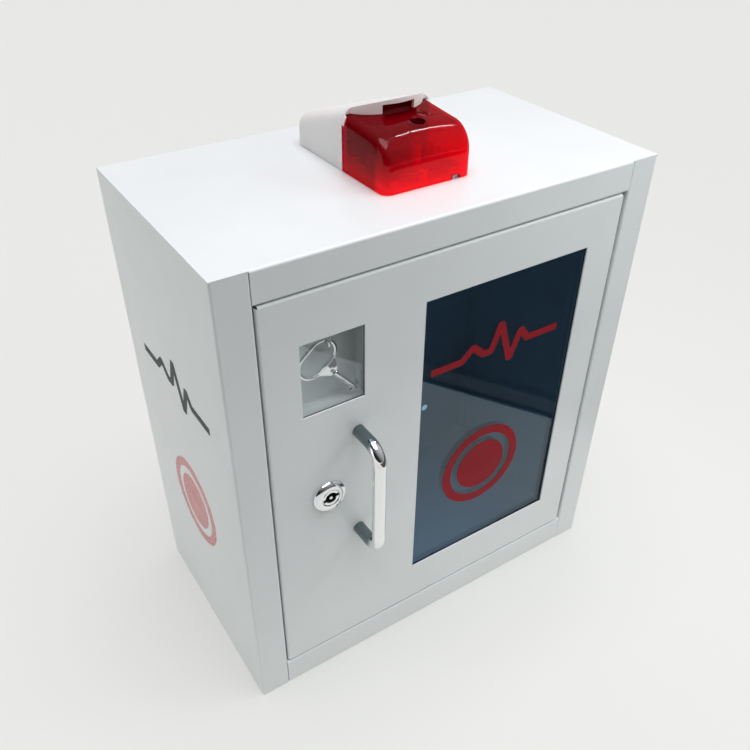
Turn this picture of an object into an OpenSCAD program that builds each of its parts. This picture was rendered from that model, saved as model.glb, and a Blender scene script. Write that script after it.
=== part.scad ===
// Wall cabinet for a defibrillator: folded steel case, hinged door with a tinted window,
// emergency key behind a clear pane, cam lock, bar handle, and a strobe siren on the roof.
// Origin: middle of the base face. +Z up, the door faces -Y, the wall is at +Y. Millimetres.

/* [Case] */
// Outside width of the case
case_w = 360; // [345:1:400]
// Outside depth of the case, from the front frame to the wall
case_d = 195; // [185:1:230]
// Outside height of the case without the siren
case_h = 400; // [396:1:440]
// Thickness of the steel sheet
sheet_t = 1.2; // [1:0.1:1.4]
// Inside radius of the folds
fold_in = 0.6; // [0.4:0.1:0.8]
// Width of the frame post on each side of the door
post_w = 25; // [22:0.5:28]
// Height of the front rail above the door
top_rail_h = 23.5; // [20:0.5:26]
// Height of the front rail below the door
low_rail_h = 27.5; // [22:0.5:30]
// Depth of the lips and of the door's folded edges
lip_d = 15; // [14:0.5:18]
// Distance of a wall screw hole from the side, the top and the base
wall_hole_in = [54, 53, 53]; // [50:1:60]
// Diameter of the wall screw holes
wall_hole_d = 8; // [6:0.5:9]

/* [Door] */
// Gap between the door and the frame at the lock side
gap_lock = 1.3; // [1:0.1:2]
// Gap above the door
gap_top = 1.2; // [1:0.1:2]
// Gap between the door and the frame at the hinge side
gap_hinge = 3; // [2.8:0.1:4]
// Gap below the door
gap_low = 1; // [1:0.1:2]
// Low and high X of the main window
win_x = [-28.5, 122]; // [-40:0.5:130]
// Low and high Z of the main window
win_z = [70, 339.5]; // [60:0.5:345]
// Low and high X of the key window
key_win_x = [-126.6, -77.6]; // [-130:0.1:-70]
// Low and high Z of the key window
key_win_z = [280.2, 338.8]; // [270:0.1:345]
// Thickness of the foam tape between the door and its panes
seal_t = 1; // [0.5:0.1:1.2]
// Width of the strip that the hem turns in behind the door's edge
hem_w = 10; // [8:0.5:10]
// Distance of the hinge pin from the door's edge and from its face
pin_in = [5, 5.5]; // [5:0.1:6]
// Diameter of the hinge pins
pin_d = 5; // [4:0.5:5]

/* [Lock and handle] */
// X and Z of the lock's axis
lock_at = [-109.5, 201]; // [-115:0.5:210]
// Diameter of the lock's bezel at the door and at its face
bezel_d = [27.5, 20]; // [19.5:0.5:28]
// How far the bezel stands out of the door
bezel_h = 4; // [3:0.5:6]
// Diameter of the turning cylinder
plug_d = 14.2; // [13:0.1:15]
// Reach of the cam from the lock's axis
cam_reach = 52; // [49:0.5:54]
// X of the handle
handle_x = -83.5; // [-90:0.5:-80]
// Z of the handle's two legs
handle_z = [152.5, 251.5]; // [140:0.5:260]
// Diameter of the handle's bar
handle_d = 10; // [8:0.5:11]
// Distance of the grip's centre from the door
handle_out = 28; // [26:0.5:32]

/* [Siren] */
// Width and length of the siren
siren_w = 73; // [70:0.5:76]
// Length of the siren
siren_l = 122; // [120:1:126]
// Highest point of the siren above the roof
siren_h = 49.5; // [48:0.5:51]
// Y of the siren's front face
siren_y = -55; // [-60:0.5:-50]
// Length of the red lens along the sides
lens_l = 53.2; // [52:0.1:55]

/* [Hidden] */
$fn = 48;

half_w = case_w / 2;
half_d = case_d / 2;
front_y = -half_d;
fold_out = fold_in + sheet_t;
lip_y = front_y + lip_d;
skin_y = front_y + sheet_t;
open_x = half_w - post_w;
open_top = case_h - top_rail_h;
roof_z = case_h - sheet_t;
side_in = half_w - sheet_t;
wall_x = half_w - wall_hole_in[0];
wall_z = [wall_hole_in[2], case_h - wall_hole_in[1]];

door_x = [-open_x + gap_lock, open_x - gap_hinge];
door_z = [low_rail_h + gap_low, open_top - gap_top];
pin_x = door_x[1] - pin_in[0];
pin_y = front_y + pin_in[1];

// Paint and part colours
paint = [0.80, 0.82, 0.83];
steel = [0.70, 0.71, 0.72];
chrome = [0.85, 0.86, 0.88];
black = [0.10, 0.10, 0.11];
red = [0.80, 0.05, 0.08];
white = [0.93, 0.93, 0.92];
print_grey = [0.20, 0.22, 0.23];
print_red = [0.78, 0.12, 0.14];

// Small shared shapes ---------------------------------------------------------------------

// Quarter ring of a fold: centre, and the angle at which it starts
module fold(x, y, start) {
    translate([x, y]) rotate(start) intersection() {
        difference() {
            circle(fold_out);
            circle(fold_in);
        }
        square(fold_out + 1);
    }
}

// Straight leg of sheet between two corners
module leg(a, b) {
    translate(a) square(b - a);
}

// Rectangular block between two corners
module block(a, b) {
    translate(a) cube(b - a);
}

// Extrudes a profile drawn in (Y, Z) along +X
module along_x(length) {
    rotate([90, 0, 90]) linear_extrude(length) children();
}

// Cylinder along +Y
module rod_y(at, d, length) {
    translate(at) rotate([-90, 0, 0]) cylinder(d = d, h = length);
}

// Hexagon nut along +Y, with a bore
module nut_y(at, across, bore, h) {
    translate(at) rotate([-90, 0, 0]) difference() {
        cylinder(d = across / cos(30), h = h, $fn = 6);
        translate([0, 0, -1]) cylinder(d = bore, h = h + 2);
    }
}

// Outline of a bold line through a list of points, with its outer corners cut flat
function heading(p, i) = (p[i + 1] - p[i]) / norm(p[i + 1] - p[i]);
function left_of(d) = [-d[1], d[0]];
function ribbon_corner(p, i, side, half) =
    let (a = heading(p, i - 1), b = heading(p, i), turn = a[0] * b[1] - a[1] * b[0])
    turn * side > 0
        ? [p[i] + side * half * (left_of(a) + left_of(b)) / (1 + a * b)]
        : [p[i] + side * half * left_of(a), p[i] + side * half * left_of(b)];
function ribbon_side(p, side, half) =
    let (last = len(p) - 1)
    concat([p[0] + side * half * left_of(heading(p, 0))],
           [for (i = [1:last - 1]) each ribbon_corner(p, i, side, half)],
           [p[last] + side * half * left_of(heading(p, last - 1))]);
function reversed(v) = [for (i = [len(v) - 1:-1:0]) v[i]];
function ribbon(p, width) =
    concat(ribbon_side(p, 1, width / 2), reversed(ribbon_side(p, -1, width / 2)));

// Foam tape behind the door, round a window given by its low and high X and Z
module seal_frame(x, z, width) {
    color(black) difference() {
        block([x[0] - width, skin_y, z[0] - width], [x[1] + width, skin_y + seal_t, z[1] + width]);
        block([x[0], skin_y - 1, z[0]], [x[1], skin_y + seal_t + 1, z[1]]);
    }
}

// Case ------------------------------------------------------------------------------------

module side_profile() {
    leg([-half_w, front_y + fold_out], [-side_in, half_d]);
    fold(-half_w + fold_out, front_y + fold_out, 180);
    leg([-half_w + fold_out, front_y], [-open_x - fold_out, skin_y]);
    fold(-open_x - fold_out, front_y + fold_out, 270);
    leg([-open_x - sheet_t, front_y + fold_out], [-open_x, lip_y]);
}

// Left side: wall, front post and the lip beside the door, open where the base sheet passes
module left_side_panel() {
    color(paint) difference() {
        linear_extrude(roof_z) side_profile();
        block([-open_x - fold_out - 1, skin_y, -1], [-open_x + 1, lip_y + 1, sheet_t]);
    }
}

module right_side_panel() {
    mirror([1, 0, 0]) left_side_panel();
}

module rail_profile() {
    fold(front_y + fold_out, case_h - fold_out, 90);
    leg([front_y, open_top + fold_out], [skin_y, case_h - fold_out]);
    fold(front_y + fold_out, open_top + fold_out, 180);
    leg([front_y + fold_out, open_top], [lip_y, open_top + sheet_t]);
}

// Roof sheet over the whole case, with the rail and lip above the door
module top_panel() {
    color(paint) difference() {
        union() {
            block([-half_w, front_y + fold_out, roof_z], [half_w, half_d, case_h]);
            for (s = [-1, 1])
                translate([s * (half_w + open_x) / 2, front_y + fold_out / 2, case_h - sheet_t / 2])
                    cube([post_w, fold_out, sheet_t], center = true);
            translate([-open_x, 0, 0]) along_x(2 * open_x) rail_profile();
        }
        translate([pin_x, pin_y, open_top - 1]) cylinder(d = bush_d, h = sheet_t + 2);
        for (p = siren_fix) translate([p[0], p[1], roof_z - 1]) cylinder(d = 4.4, h = 4);
        translate([cable_at[0], cable_at[1], roof_z - 1]) cylinder(d = grommet_d, h = 4);
    }
}

module low_rail_profile() {
    fold(front_y + fold_out, fold_out, 180);
    leg([front_y, fold_out], [skin_y, low_rail_h - fold_out]);
    fold(front_y + fold_out, low_rail_h - fold_out, 90);
    leg([front_y + fold_out, low_rail_h - sheet_t], [lip_y, low_rail_h]);
}

// Base sheet between the side walls, with the rail and lip below the door
module bottom_panel() {
    color(paint) difference() {
        union() {
            block([-side_in, front_y + fold_out, 0], [side_in, half_d, sheet_t]);
            translate([-open_x, 0, 0]) along_x(2 * open_x) low_rail_profile();
        }
        translate([pin_x, pin_y, low_rail_h - sheet_t - 1]) cylinder(d = bush_d, h = sheet_t + 2);
    }
}

// Back sheet with edges folded forward inside the case, and four wall screw holes
module back_panel() {
    edge = 12;
    color(paint) difference() {
        union() {
            block([-side_in + fold_out, half_d - sheet_t, sheet_t + fold_out],
                  [side_in - fold_out, half_d, roof_z - fold_out]);
            for (s = [0, 1]) mirror([s, 0, 0]) translate([0, 0, sheet_t + fold_out])
                linear_extrude(roof_z - sheet_t - 2 * fold_out) {
                    fold(side_in - fold_out, half_d - fold_out, 0);
                    leg([side_in - sheet_t, half_d - edge], [side_in, half_d - fold_out]);
                }
            translate([-side_in + fold_out, 0, 0]) along_x(2 * (side_in - fold_out)) {
                fold(half_d - fold_out, roof_z - fold_out, 0);
                leg([half_d - edge, roof_z - sheet_t], [half_d - fold_out, roof_z]);
                fold(half_d - fold_out, sheet_t + fold_out, 270);
                leg([half_d - edge, sheet_t], [half_d - fold_out, 2 * sheet_t]);
            }
        }
        for (x = [-wall_x, wall_x], z = wall_z) rod_y([x, half_d - 3, z], wall_hole_d, 4);
    }
}

// Angle brackets on the lock-side lip that the door's hem closes against
stop_z = [88, 318];
stop_h = 24;
stop_t = 1.5;
stop_y = lip_y + 2.5;
stop_x = -open_x - sheet_t;

module door_stops() {
    color(steel) for (z = stop_z) translate([0, 0, z]) {
        block([stop_x - stop_t, lip_y - 9, 0], [stop_x, stop_y + stop_t, stop_h]);
        block([stop_x, stop_y, 0], [stop_x + 14, stop_y + stop_t, stop_h]);
    }
}

module stop_bumpers() {
    color(black) for (z = stop_z)
        rod_y([stop_x + 8.2, lip_y + 0.1, z + stop_h / 2], 9, stop_y - lip_y - 0.1);
}

// Flanged nylon bushes in the two lips, which carry the hinge pins
bush_d = 7.2;
bush_flange = [8.2, 0.7];
bush_bore = pin_d + 0.1;

module bush() {
    difference() {
        union() {
            cylinder(d = bush_d, h = sheet_t);
            translate([0, 0, sheet_t]) cylinder(d = bush_flange[0], h = bush_flange[1]);
        }
        translate([0, 0, -1]) cylinder(d = bush_bore, h = sheet_t + 3);
    }
}

module hinge_bushes() {
    color(white) {
        translate([pin_x, pin_y, open_top]) bush();
        translate([pin_x, pin_y, low_rail_h - sheet_t]) bush();
    }
}

// Door ------------------------------------------------------------------------------------

// One folded edge of the door in (along the face, depth): fold, return, fold and hem
module door_edge_profile() {
    fold(fold_out, fold_out, 180);
    leg([0, fold_out], [sheet_t, lip_d - fold_out]);
    fold(fold_out, lip_d - fold_out, 90);
    leg([fold_out, lip_d - sheet_t], [hem_w, lip_d]);
}

module door_panel() {
    w = door_x[1] - door_x[0];
    h = door_z[1] - door_z[0];
    color(paint) difference() {
        translate([door_x[0], front_y, door_z[0]]) union() {
            block([fold_out, 0, fold_out], [w - fold_out, sheet_t, h - fold_out]);
            translate([0, 0, fold_out]) linear_extrude(h - 2 * fold_out) door_edge_profile();
            translate([w, 0, fold_out]) mirror([1, 0, 0])
                linear_extrude(h - 2 * fold_out) door_edge_profile();
            translate([fold_out, 0, 0]) rotate([90, 0, 90]) linear_extrude(w - 2 * fold_out)
                mirror([1, -1]) door_edge_profile();
            translate([fold_out, 0, h]) mirror([0, 0, 1]) rotate([90, 0, 90])
                linear_extrude(w - 2 * fold_out) mirror([1, -1]) door_edge_profile();
        }
        block([win_x[0], front_y - 1, win_z[0]], [win_x[1], skin_y + 1, win_z[1]]);
        block([key_win_x[0], front_y - 1, key_win_z[0]], [key_win_x[1], skin_y + 1, key_win_z[1]]);
        rod_y([lock_at[0], front_y - 1, lock_at[1]], barrel_d + 0.2, 4);
        for (z = handle_z) rod_y([handle_x, front_y - 1, z], 5.2, 4);
        translate([pin_x, pin_y, door_z[0] - 1]) cylinder(d = pin_d, h = h + 2);
    }
}

// Pins welded in the door's top and bottom edges, each with a head inside the door
module hinge_pins() {
    head = [7, 1.5];
    reach = 9;
    color(steel) for (top = [0, 1]) {
        edge = top ? door_z[1] : door_z[0];
        dir = top ? 1 : -1;
        translate([pin_x, pin_y, edge]) mirror([0, 0, 1 - top]) {
            translate([0, 0, -sheet_t]) cylinder(d = pin_d, h = sheet_t + reach);
            translate([0, 0, -sheet_t - head[1]]) cylinder(d = head[0], h = head[1]);
        }
    }
}

// Main window
pane_t = 2.5;
pane_lap = 11.5;
clip_size = [12, 18, 1.5];
stud_off = 6;
pane_x = [win_x[0] - pane_lap, win_x[1] + pane_lap];
pane_z = [win_z[0] - pane_lap, win_z[1] + pane_lap];
pane_y = skin_y + seal_t;
pane_back = pane_y + pane_t;
clip_rows = [pane_z[0] + 41.5, (pane_z[0] + pane_z[1]) / 2, pane_z[1] - 41.5];
// Each clip: X and Z of its stud, and the turn that points it over the pane
clip_at = concat([for (z = clip_rows) [pane_x[0] - stud_off, z, 0]],
                 [for (z = clip_rows) [pane_x[1] + stud_off, z, 180]],
                 [[(pane_x[0] + pane_x[1]) / 2, pane_z[1] + stud_off, 90],
                  [(pane_x[0] + pane_x[1]) / 2, pane_z[0] - stud_off, -90]]);

module window_seal() {
    seal_frame(win_x, win_z, 8);
}

module window_pane() {
    color([0.10, 0.13, 0.16, 0.6])
        block([pane_x[0], pane_y, pane_z[0]], [pane_x[1], pane_back, pane_z[1]]);
}

module window_studs() {
    color(steel) for (c = clip_at) rod_y([c[0], skin_y, c[1]], 4, 9);
}

// Stepped clips: the foot stands on the door, the tongue lies on the pane
module window_clips() {
    foot = 6;
    step = pane_back - skin_y;
    color(steel) for (c = clip_at) translate([c[0], skin_y, c[1]]) rotate([0, c[2], 0])
        difference() {
            union() {
                translate([-foot, step, -clip_size[0] / 2])
                    cube([clip_size[1], clip_size[2], clip_size[0]]);
                translate([-foot, 0, -clip_size[0] / 2]) cube([1.5, step, clip_size[0]]);
            }
            rod_y([0, -1, 0], 4.1, step + clip_size[2] + 2);
        }
}

module window_nuts() {
    color(steel) for (c = clip_at)
        nut_y([c[0], pane_back + clip_size[2], c[1]], 7, 4.05, 3.2);
}

// Key box
key_mid = [(key_win_x[0] + key_win_x[1]) / 2, (key_win_z[0] + key_win_z[1]) / 2];
key_flange = [78, 89];
key_pane_t = 1.5;
key_sheet = 1;
key_front = skin_y + seal_t + key_pane_t;
key_in_x = [key_win_x[0] - 3.5, key_win_x[1] + 3.5];
key_in_z = [key_win_z[0] - 3, key_win_z[1] + 3.2];
key_floor_y = front_y + 18;
key_stud = [34, 39.5];

module key_plate(y, t) {
    difference() {
        block([key_mid[0] - key_flange[0] / 2, y, key_mid[1] - key_flange[1] / 2],
              [key_mid[0] + key_flange[0] / 2, y + t, key_mid[1] + key_flange[1] / 2]);
        for (i = [-1, 1], k = [-1, 1])
            rod_y([key_mid[0] + i * key_stud[0], y - 1, key_mid[1] + k * key_stud[1]], 3.2, t + 2);
    }
}

module key_seal() {
    seal_frame(key_win_x, key_win_z, 5);
}

module key_pane() {
    color([0.9, 0.95, 0.97, 0.3]) key_plate(skin_y + seal_t, key_pane_t);
}

module key_box() {
    color([0.74, 0.76, 0.78]) difference() {
        union() {
            key_plate(key_front, key_sheet);
            block([key_in_x[0] - key_sheet, key_front, key_in_z[0] - key_sheet],
                  [key_in_x[1] + key_sheet, key_floor_y + key_sheet, key_in_z[1] + key_sheet]);
        }
        block([key_in_x[0], key_front - 1, key_in_z[0]], [key_in_x[1], key_floor_y, key_in_z[1]]);
    }
}

module key_box_studs() {
    color(steel) for (i = [-1, 1], k = [-1, 1])
        rod_y([key_mid[0] + i * key_stud[0], skin_y, key_mid[1] + k * key_stud[1]], 3, 7);
}

module key_box_nuts() {
    color(steel) for (i = [-1, 1], k = [-1, 1])
        nut_y([key_mid[0] + i * key_stud[0], key_front + key_sheet, key_mid[1] + k * key_stud[1]],
              5.5, 3.05, 2.4);
}

// Peg that the key hangs on, with a turned-up end
peg_at = [-101.8, 326.8];
peg_d = 2.4;
key_y = front_y + 9;

module key_peg() {
    tip_y = key_y - 3.4;
    color(chrome) {
        rod_y([peg_at[0], tip_y, peg_at[1]], peg_d, key_floor_y - tip_y);
        translate([peg_at[0], tip_y, peg_at[1]]) cylinder(d = peg_d, h = 5.2);
        translate([peg_at[0], tip_y, peg_at[1]]) sphere(d = peg_d);
    }
}

// Spare key, hanging from its ring: u runs down the shaft, v across the bow
key_turn = -49;
bow_r = [11.5, 8.7];
bow_half = 5.2;
key_t = 2;
shoulder_l = 8;
shaft_l = 25.5;
shaft_d = 4.6;
bit_size = [4, 1.8, 9];
bow_at = [-109.6, 317.4];

module key_bow_2d(r) {
    for (s = [-1, 1]) translate([0, s * bow_half]) circle(r);
    square([2 * r, 2 * bow_half], center = true);
}

module spare_key() {
    neck = bow_r[0] + shoulder_l;
    tip = neck + shaft_l;
    color(chrome) translate([bow_at[0], key_y, bow_at[1]]) rotate([0, -key_turn, 0]) {
        difference() {
            rotate([90, 0, 0]) linear_extrude(key_t, center = true) difference() {
                union() {
                    difference() {
                        key_bow_2d(bow_r[0]);
                        key_bow_2d(bow_r[1]);
                    }
                    polygon([[bow_r[1] - 0.6, -8], [bow_r[1] - 0.6, 8], [bow_r[0] + 0.2, 8],
                             [neck, 3.4], [neck, -3.4], [bow_r[0] + 0.2, -8]]);
                }
                translate([neck - 3, 0]) circle(d = 2.8);
            }
        }
        translate([neck - 0.5, 0, 0]) rotate([0, 90, 0]) cylinder(d = shaft_d, h = shaft_l + 0.5);
        translate([tip - bit_size[0] / 2 - 0.5, 0, 0]) cube(bit_size, center = true);
    }
}

// Handle ----------------------------------------------------------------------------------

handle_bend = 13;

module handle_corner() {
    rotate([0, 90, 0]) rotate_extrude(angle = 90) translate([handle_bend, 0]) circle(d = handle_d);
}

module door_handle() {
    grip_y = front_y - handle_out;
    bend_y = grip_y + handle_bend;
    color(chrome) difference() {
        union() {
            for (z = handle_z) rod_y([handle_x, bend_y, z], handle_d, front_y - bend_y);
            translate([handle_x, grip_y, handle_z[0] + handle_bend])
                cylinder(d = handle_d, h = handle_z[1] - handle_z[0] - 2 * handle_bend);
            translate([handle_x, bend_y, handle_z[0] + handle_bend]) mirror([0, 1, 0])
                handle_corner();
            translate([handle_x, bend_y, handle_z[1] - handle_bend]) mirror([0, 0, 1])
                mirror([0, 1, 0]) handle_corner();
        }
        for (z = handle_z) rod_y([handle_x, front_y - 12, z], 5, 13);
    }
}

module handle_screws() {
    color(steel) for (z = handle_z) {
        rod_y([handle_x, front_y - 11, z], 5, 11 + sheet_t);
        difference() {
            rod_y([handle_x, skin_y, z], 9, 3);
            translate([handle_x, skin_y + 2.4, z]) cube([1.2, 2, 5.5], center = true);
            translate([handle_x, skin_y + 2.4, z]) cube([5.5, 2, 1.2], center = true);
        }
    }
}

// Lock ------------------------------------------------------------------------------------

barrel_d = 19;
cam_y = lip_y + 0.8;
cam_t = 2.5;
cam_w = 15;
keyway = [3.5, 8.7, 2.5];
key_slot_turn = 12;
shank = 8;
lock_gap = 0.05;

module on_lock() {
    translate([lock_at[0], 0, lock_at[1]]) rotate([-90, 0, 0]) children();
}

// Bezel with a flat ring face and a threaded barrel through the door
module lock_body() {
    color(chrome) on_lock() difference() {
        union() {
            translate([0, 0, front_y - bezel_h])
                cylinder(d1 = bezel_d[1], d2 = bezel_d[0], h = bezel_h - 0.8);
            translate([0, 0, front_y - 0.8]) cylinder(d = bezel_d[0], h = 0.8);
            translate([0, 0, front_y]) cylinder(d = barrel_d, h = cam_y - 0.2 - front_y);
        }
        translate([0, 0, front_y - bezel_h - 1])
            cylinder(d = plug_d + 2 * lock_gap, h = cam_y - front_y + bezel_h + 2);
    }
}

module lock_nut() {
    color(steel) nut_y([lock_at[0], skin_y, lock_at[1]], 24, barrel_d + 0.04, 4);
}

// Turning cylinder: ring keyway with two wings at the front, square shank and thread behind
module lock_cylinder() {
    face = front_y - bezel_h + 0.3;
    color(chrome) on_lock() {
        difference() {
            translate([0, 0, face]) cylinder(d = plug_d, h = cam_y - face);
            translate([0, 0, face - 1]) difference() {
                union() {
                    cylinder(d = keyway[1], h = 11);
                    rotate(key_slot_turn)
                        translate([-plug_d / 2 + 0.5, -keyway[2] / 2, 0])
                            cube([plug_d - 1, keyway[2], 8]);
                }
                translate([0, 0, -1]) cylinder(d = keyway[0], h = 14);
            }
        }
        translate([-shank / 2, -shank / 2, cam_y]) cube([shank, shank, cam_t]);
        translate([0, 0, cam_y + cam_t]) cylinder(d = 6, h = 6);
    }
}

// Flat cam, hanging down while the door is unlocked
module lock_cam() {
    color(steel) translate([lock_at[0], cam_y, lock_at[1]]) difference() {
        union() {
            rod_y([0, 0, 0], cam_w + 3, cam_t);
            block([-cam_w / 2, 0, -cam_reach + cam_w / 2], [cam_w / 2, cam_t, 0]);
            rod_y([0, 0, -cam_reach + cam_w / 2], cam_w, cam_t);
        }
        translate([0, cam_t / 2, 0]) cube([shank, cam_t + 2, shank], center = true);
    }
}

module cam_nut() {
    color(steel) nut_y([lock_at[0], cam_y + cam_t, lock_at[1]], 10, 6.02, 4);
}

// Door contact, batteries and alarm switch ------------------------------------------------

contact_x = [62, 90];
contact_z = [361, 374];
magnet_d = 5.5;
contact_gap = 3;
reed_d = 8;
reed_y = lip_y + magnet_d + contact_gap;
bracket_y = reed_y + reed_d;
contact_lead = [76, 367];
lead_d = 3;

module contact_magnet() {
    color(white) difference() {
        block([contact_x[0], lip_y, contact_z[0]], [contact_x[1], lip_y + magnet_d, contact_z[1]]);
        for (x = [contact_x[0] + 4, contact_x[1] - 4])
            rod_y([x, lip_y + magnet_d - 1, 370], 4, 2);
    }
}

module contact_switch() {
    color(white) difference() {
        block([contact_x[0], reed_y, contact_z[0]], [contact_x[1], bracket_y, contact_z[1]]);
        rod_y([contact_lead[0], bracket_y - 4, contact_lead[1]], lead_d, 5);
    }
}

module contact_bracket() {
    color(steel) difference() {
        union() {
            block([contact_x[0] + 2, bracket_y, contact_z[0]],
                  [contact_x[1] - 2, bracket_y + sheet_t, roof_z]);
            block([contact_x[0] + 2, bracket_y + sheet_t, roof_z - sheet_t],
                  [contact_x[1] - 2, bracket_y + 20, roof_z]);
        }
        rod_y([contact_lead[0], bracket_y - 1, contact_lead[1]], lead_d + 1, 4);
    }
}

box_x = [60, 126];
box_y = [6, 78];
box_h = 36;
box_wall = 2;
box_z = roof_z - box_h;
cell_d = 14.2;
cell_l = 49.5;
cell_pitch = 14.5;
cell_y = box_y[1] - box_wall - 1 - cell_l;
switch_at = [108, 381];
switch_hole = [12, 18];
siren_lead_z = 388;
siren_lead_d = 4;

// Lead from the door contact back to the battery box, held at both ends
module contact_cable() {
    color(black) rod_y([contact_lead[0], bracket_y - 4, contact_lead[1]], lead_d,
                       box_y[0] + box_wall - bracket_y + 4);
}

module battery_box() {
    color(white) difference() {
        block([box_x[0], box_y[0], box_z], [box_x[1], box_y[1], roof_z]);
        block([box_x[0] + box_wall, box_y[0] + box_wall, box_z - 1],
              [box_x[1] - box_wall, box_y[1] - box_wall, roof_z - box_wall]);
        rod_y([contact_lead[0], box_y[0] - 1, contact_lead[1]], lead_d, box_wall + 2);
        translate([switch_at[0], box_y[0], switch_at[1]])
            cube([switch_hole[0], 3 * box_wall, switch_hole[1]], center = true);
        translate([box_x[0] - 1, cable_at[1], siren_lead_z]) rotate([0, 90, 0])
            cylinder(d = siren_lead_d, h = box_wall + 2);
    }
}

lid_t = 2;
lid_lug = 9;
lid_fix_y = 62;
lid_fix = [for (x = [box_x[0] - lid_lug / 2, box_x[1] + lid_lug / 2]) [x, lid_fix_y]];

// Flat lid under the battery box, with an ear for a stud on each side
module battery_lid() {
    color(white) difference() {
        union() {
            block([box_x[0], box_y[0], box_z - lid_t], [box_x[1], box_y[1], box_z]);
            for (p = lid_fix) translate([p[0], p[1], box_z - lid_t / 2])
                cube([lid_lug, 12, lid_t], center = true);
        }
        for (p = lid_fix) translate([p[0], p[1], box_z - lid_t - 1]) cylinder(d = 3.2, h = 4);
    }
}

// Studs welded under the roof sheet; their nuts clamp the lid and the box
module battery_studs() {
    color(steel) for (p = lid_fix) translate([p[0], p[1], box_z - lid_t - 6])
        cylinder(d = 3, h = roof_z - box_z + lid_t + 6);
}

module battery_nuts() {
    color(steel) for (p = lid_fix) translate([p[0], p[1], box_z - lid_t - 4]) difference() {
        cylinder(d = 8, h = 4);
        translate([0, 0, -1]) cylinder(d = 3.05, h = 6);
    }
}

module at_cells() {
    for (i = [0:3], k = [0:1])
        translate([(box_x[0] + box_x[1]) / 2 + (i - 1.5) * cell_pitch, cell_y,
                   box_z + 8.2 + k * (cell_pitch + 0.2)]) mirror([0, (i + k) % 2, 0])
            translate([0, (i + k) % 2 ? -cell_l : 0, 0]) children();
}

module batteries() {
    color([0.25, 0.27, 0.30]) at_cells() {
        rod_y([0, 0, 0], cell_d, cell_l - 1);
        rod_y([0, cell_l - 1, 0], 5.4, 1);
    }
}

// Spring plates at both ends of the cells
module battery_contacts() {
    color(chrome) for (y = [cell_y - 0.6, cell_y + cell_l]) for (k = [0, 1])
        block([box_x[0] + 4, y, box_z + 3.2 + k * 14.7],
              [box_x[1] - 4, y + 0.6, box_z + 13.2 + k * 14.7]);
}

// Rocker switch in the front wall of the battery box
module alarm_switch_body() {
    color(black) translate([switch_at[0], box_y[0], switch_at[1]]) difference() {
        union() {
            block([-7.5, -2, -10.5], [7.5, 0, 10.5]);
            block([-switch_hole[0] / 2, 0, -switch_hole[1] / 2],
                  [switch_hole[0] / 2, 12, switch_hole[1] / 2]);
        }
        block([-4.9, -3, -8], [4.9, 7, 8]);
    }
}

rocker_rest = 8;
rocker_pivot = [switch_at[0], box_y[0] + 2.6, switch_at[1]];

module alarm_rocker() {
    color(red) translate(rocker_pivot) rotate([rocker_rest, 0, 0])
        translate([-4.6, 0, 0]) along_x(9.2)
            polygon([[0, -6.9], [-3.4, -6.9], [-5.4, 0], [-3.4, 6.9], [0, 6.9],
                     [2.4, 2.4], [3, 0], [2.4, -2.4]]);
}

// Siren -----------------------------------------------------------------------------------

siren_x = 0.75;
siren_back = siren_y + siren_l;
seam_y = siren_y + lens_l;
shell_t = 2;
siren_fix = [[siren_x, siren_y + 9], [siren_x, siren_back - 16]];
cable_at = [siren_x + 26, 40];
grommet_d = 10;

// Roof of the housing: falls from the tongue towards the wall
roof_fall = 18;
roof_crown = 0.4;
tongue_r = siren_w / 2;
tongue_mid = seam_y + 19.8;
tongue_y = tongue_mid - tongue_r;
// Top of the lens: falls gently to the front, then rounds over
lens_top = 39.5;
lens_fall = 4.9;
lens_nose = 20;
lens_edge = 7;
lens_crown = 2;
slot_w = 26;
slot_z = [40.8, 46.3];

// Outline points of an arc
function arc(x, y, r, a, b, n) =
    [for (i = [0:n]) [x + r * cos(a + (b - a) * i / n), y + r * sin(a + (b - a) * i / n)]];

// Cross-section with rounded top edges and a crowned top; g shrinks it for the inside
function shell_section(half, high, edge, crown, g) =
    let (a = half - g, h = high - g, r = max(edge - g, 0.5), s = a - r, n = 12)
    concat([[-a, -30]], arc(-s, h - r, r, 180, 90, 8),
           [for (i = [1:n - 1]) let (x = -s + 2 * s * i / n) [x, h + crown * (1 - pow(x / s, 2))]],
           arc(s, h - r, r, 90, 0, 8), [[a, -30]]);

// Plan outline with rounded corners
module plan(x, y, r) {
    translate([x[0] + r, y[0]]) square([x[1] - x[0] - 2 * r, y[1] - y[0]]);
    translate([x[0], y[0] + r]) square([x[1] - x[0], y[1] - y[0] - 2 * r]);
    for (i = [x[0] + r, x[1] - r], k = [y[0] + r, y[1] - r]) translate([i, k]) circle(r);
}

// Solid form of the housing, shrunk by g
module housing_form(g) {
    intersection() {
        translate([siren_x, tongue_y, case_h]) rotate([-roof_fall, 0, 0])
            translate([0, siren_l, 0]) rotate([90, 0, 0]) linear_extrude(siren_l + 40)
                polygon(shell_section(siren_w / 2, siren_h * cos(roof_fall) - roof_crown, 9,
                                      roof_crown, g));
        translate([siren_x - siren_w / 2 - 5, 0, case_h]) along_x(siren_w + 10) union() {
            polygon(concat([[tongue_y - 5, 0], [siren_back - g, 0]],
                           arc(siren_back - 12, 14 - g, 12 - g, 0, 75, 8),
                           [[siren_back - 30, 60], [tongue_y - 5, 60]]));
        }
        translate([0, 0, case_h]) linear_extrude(60)
            plan([siren_x - siren_w / 2 + g, siren_x + siren_w / 2 - g],
                 [tongue_y - 20, siren_back - g], 7 - g);
        union() {
            block([siren_x - siren_w, seam_y + (g > 0 ? 0 : 0.05), case_h - (g > 0 ? 1 : 0)],
                  [siren_x + siren_w, siren_back + 1, case_h + 60]);
            translate([siren_x, tongue_mid, case_h + 20]) cylinder(r = tongue_r - 1.2 * g, h = 40, $fn = 96);
        }
    }
}

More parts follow.
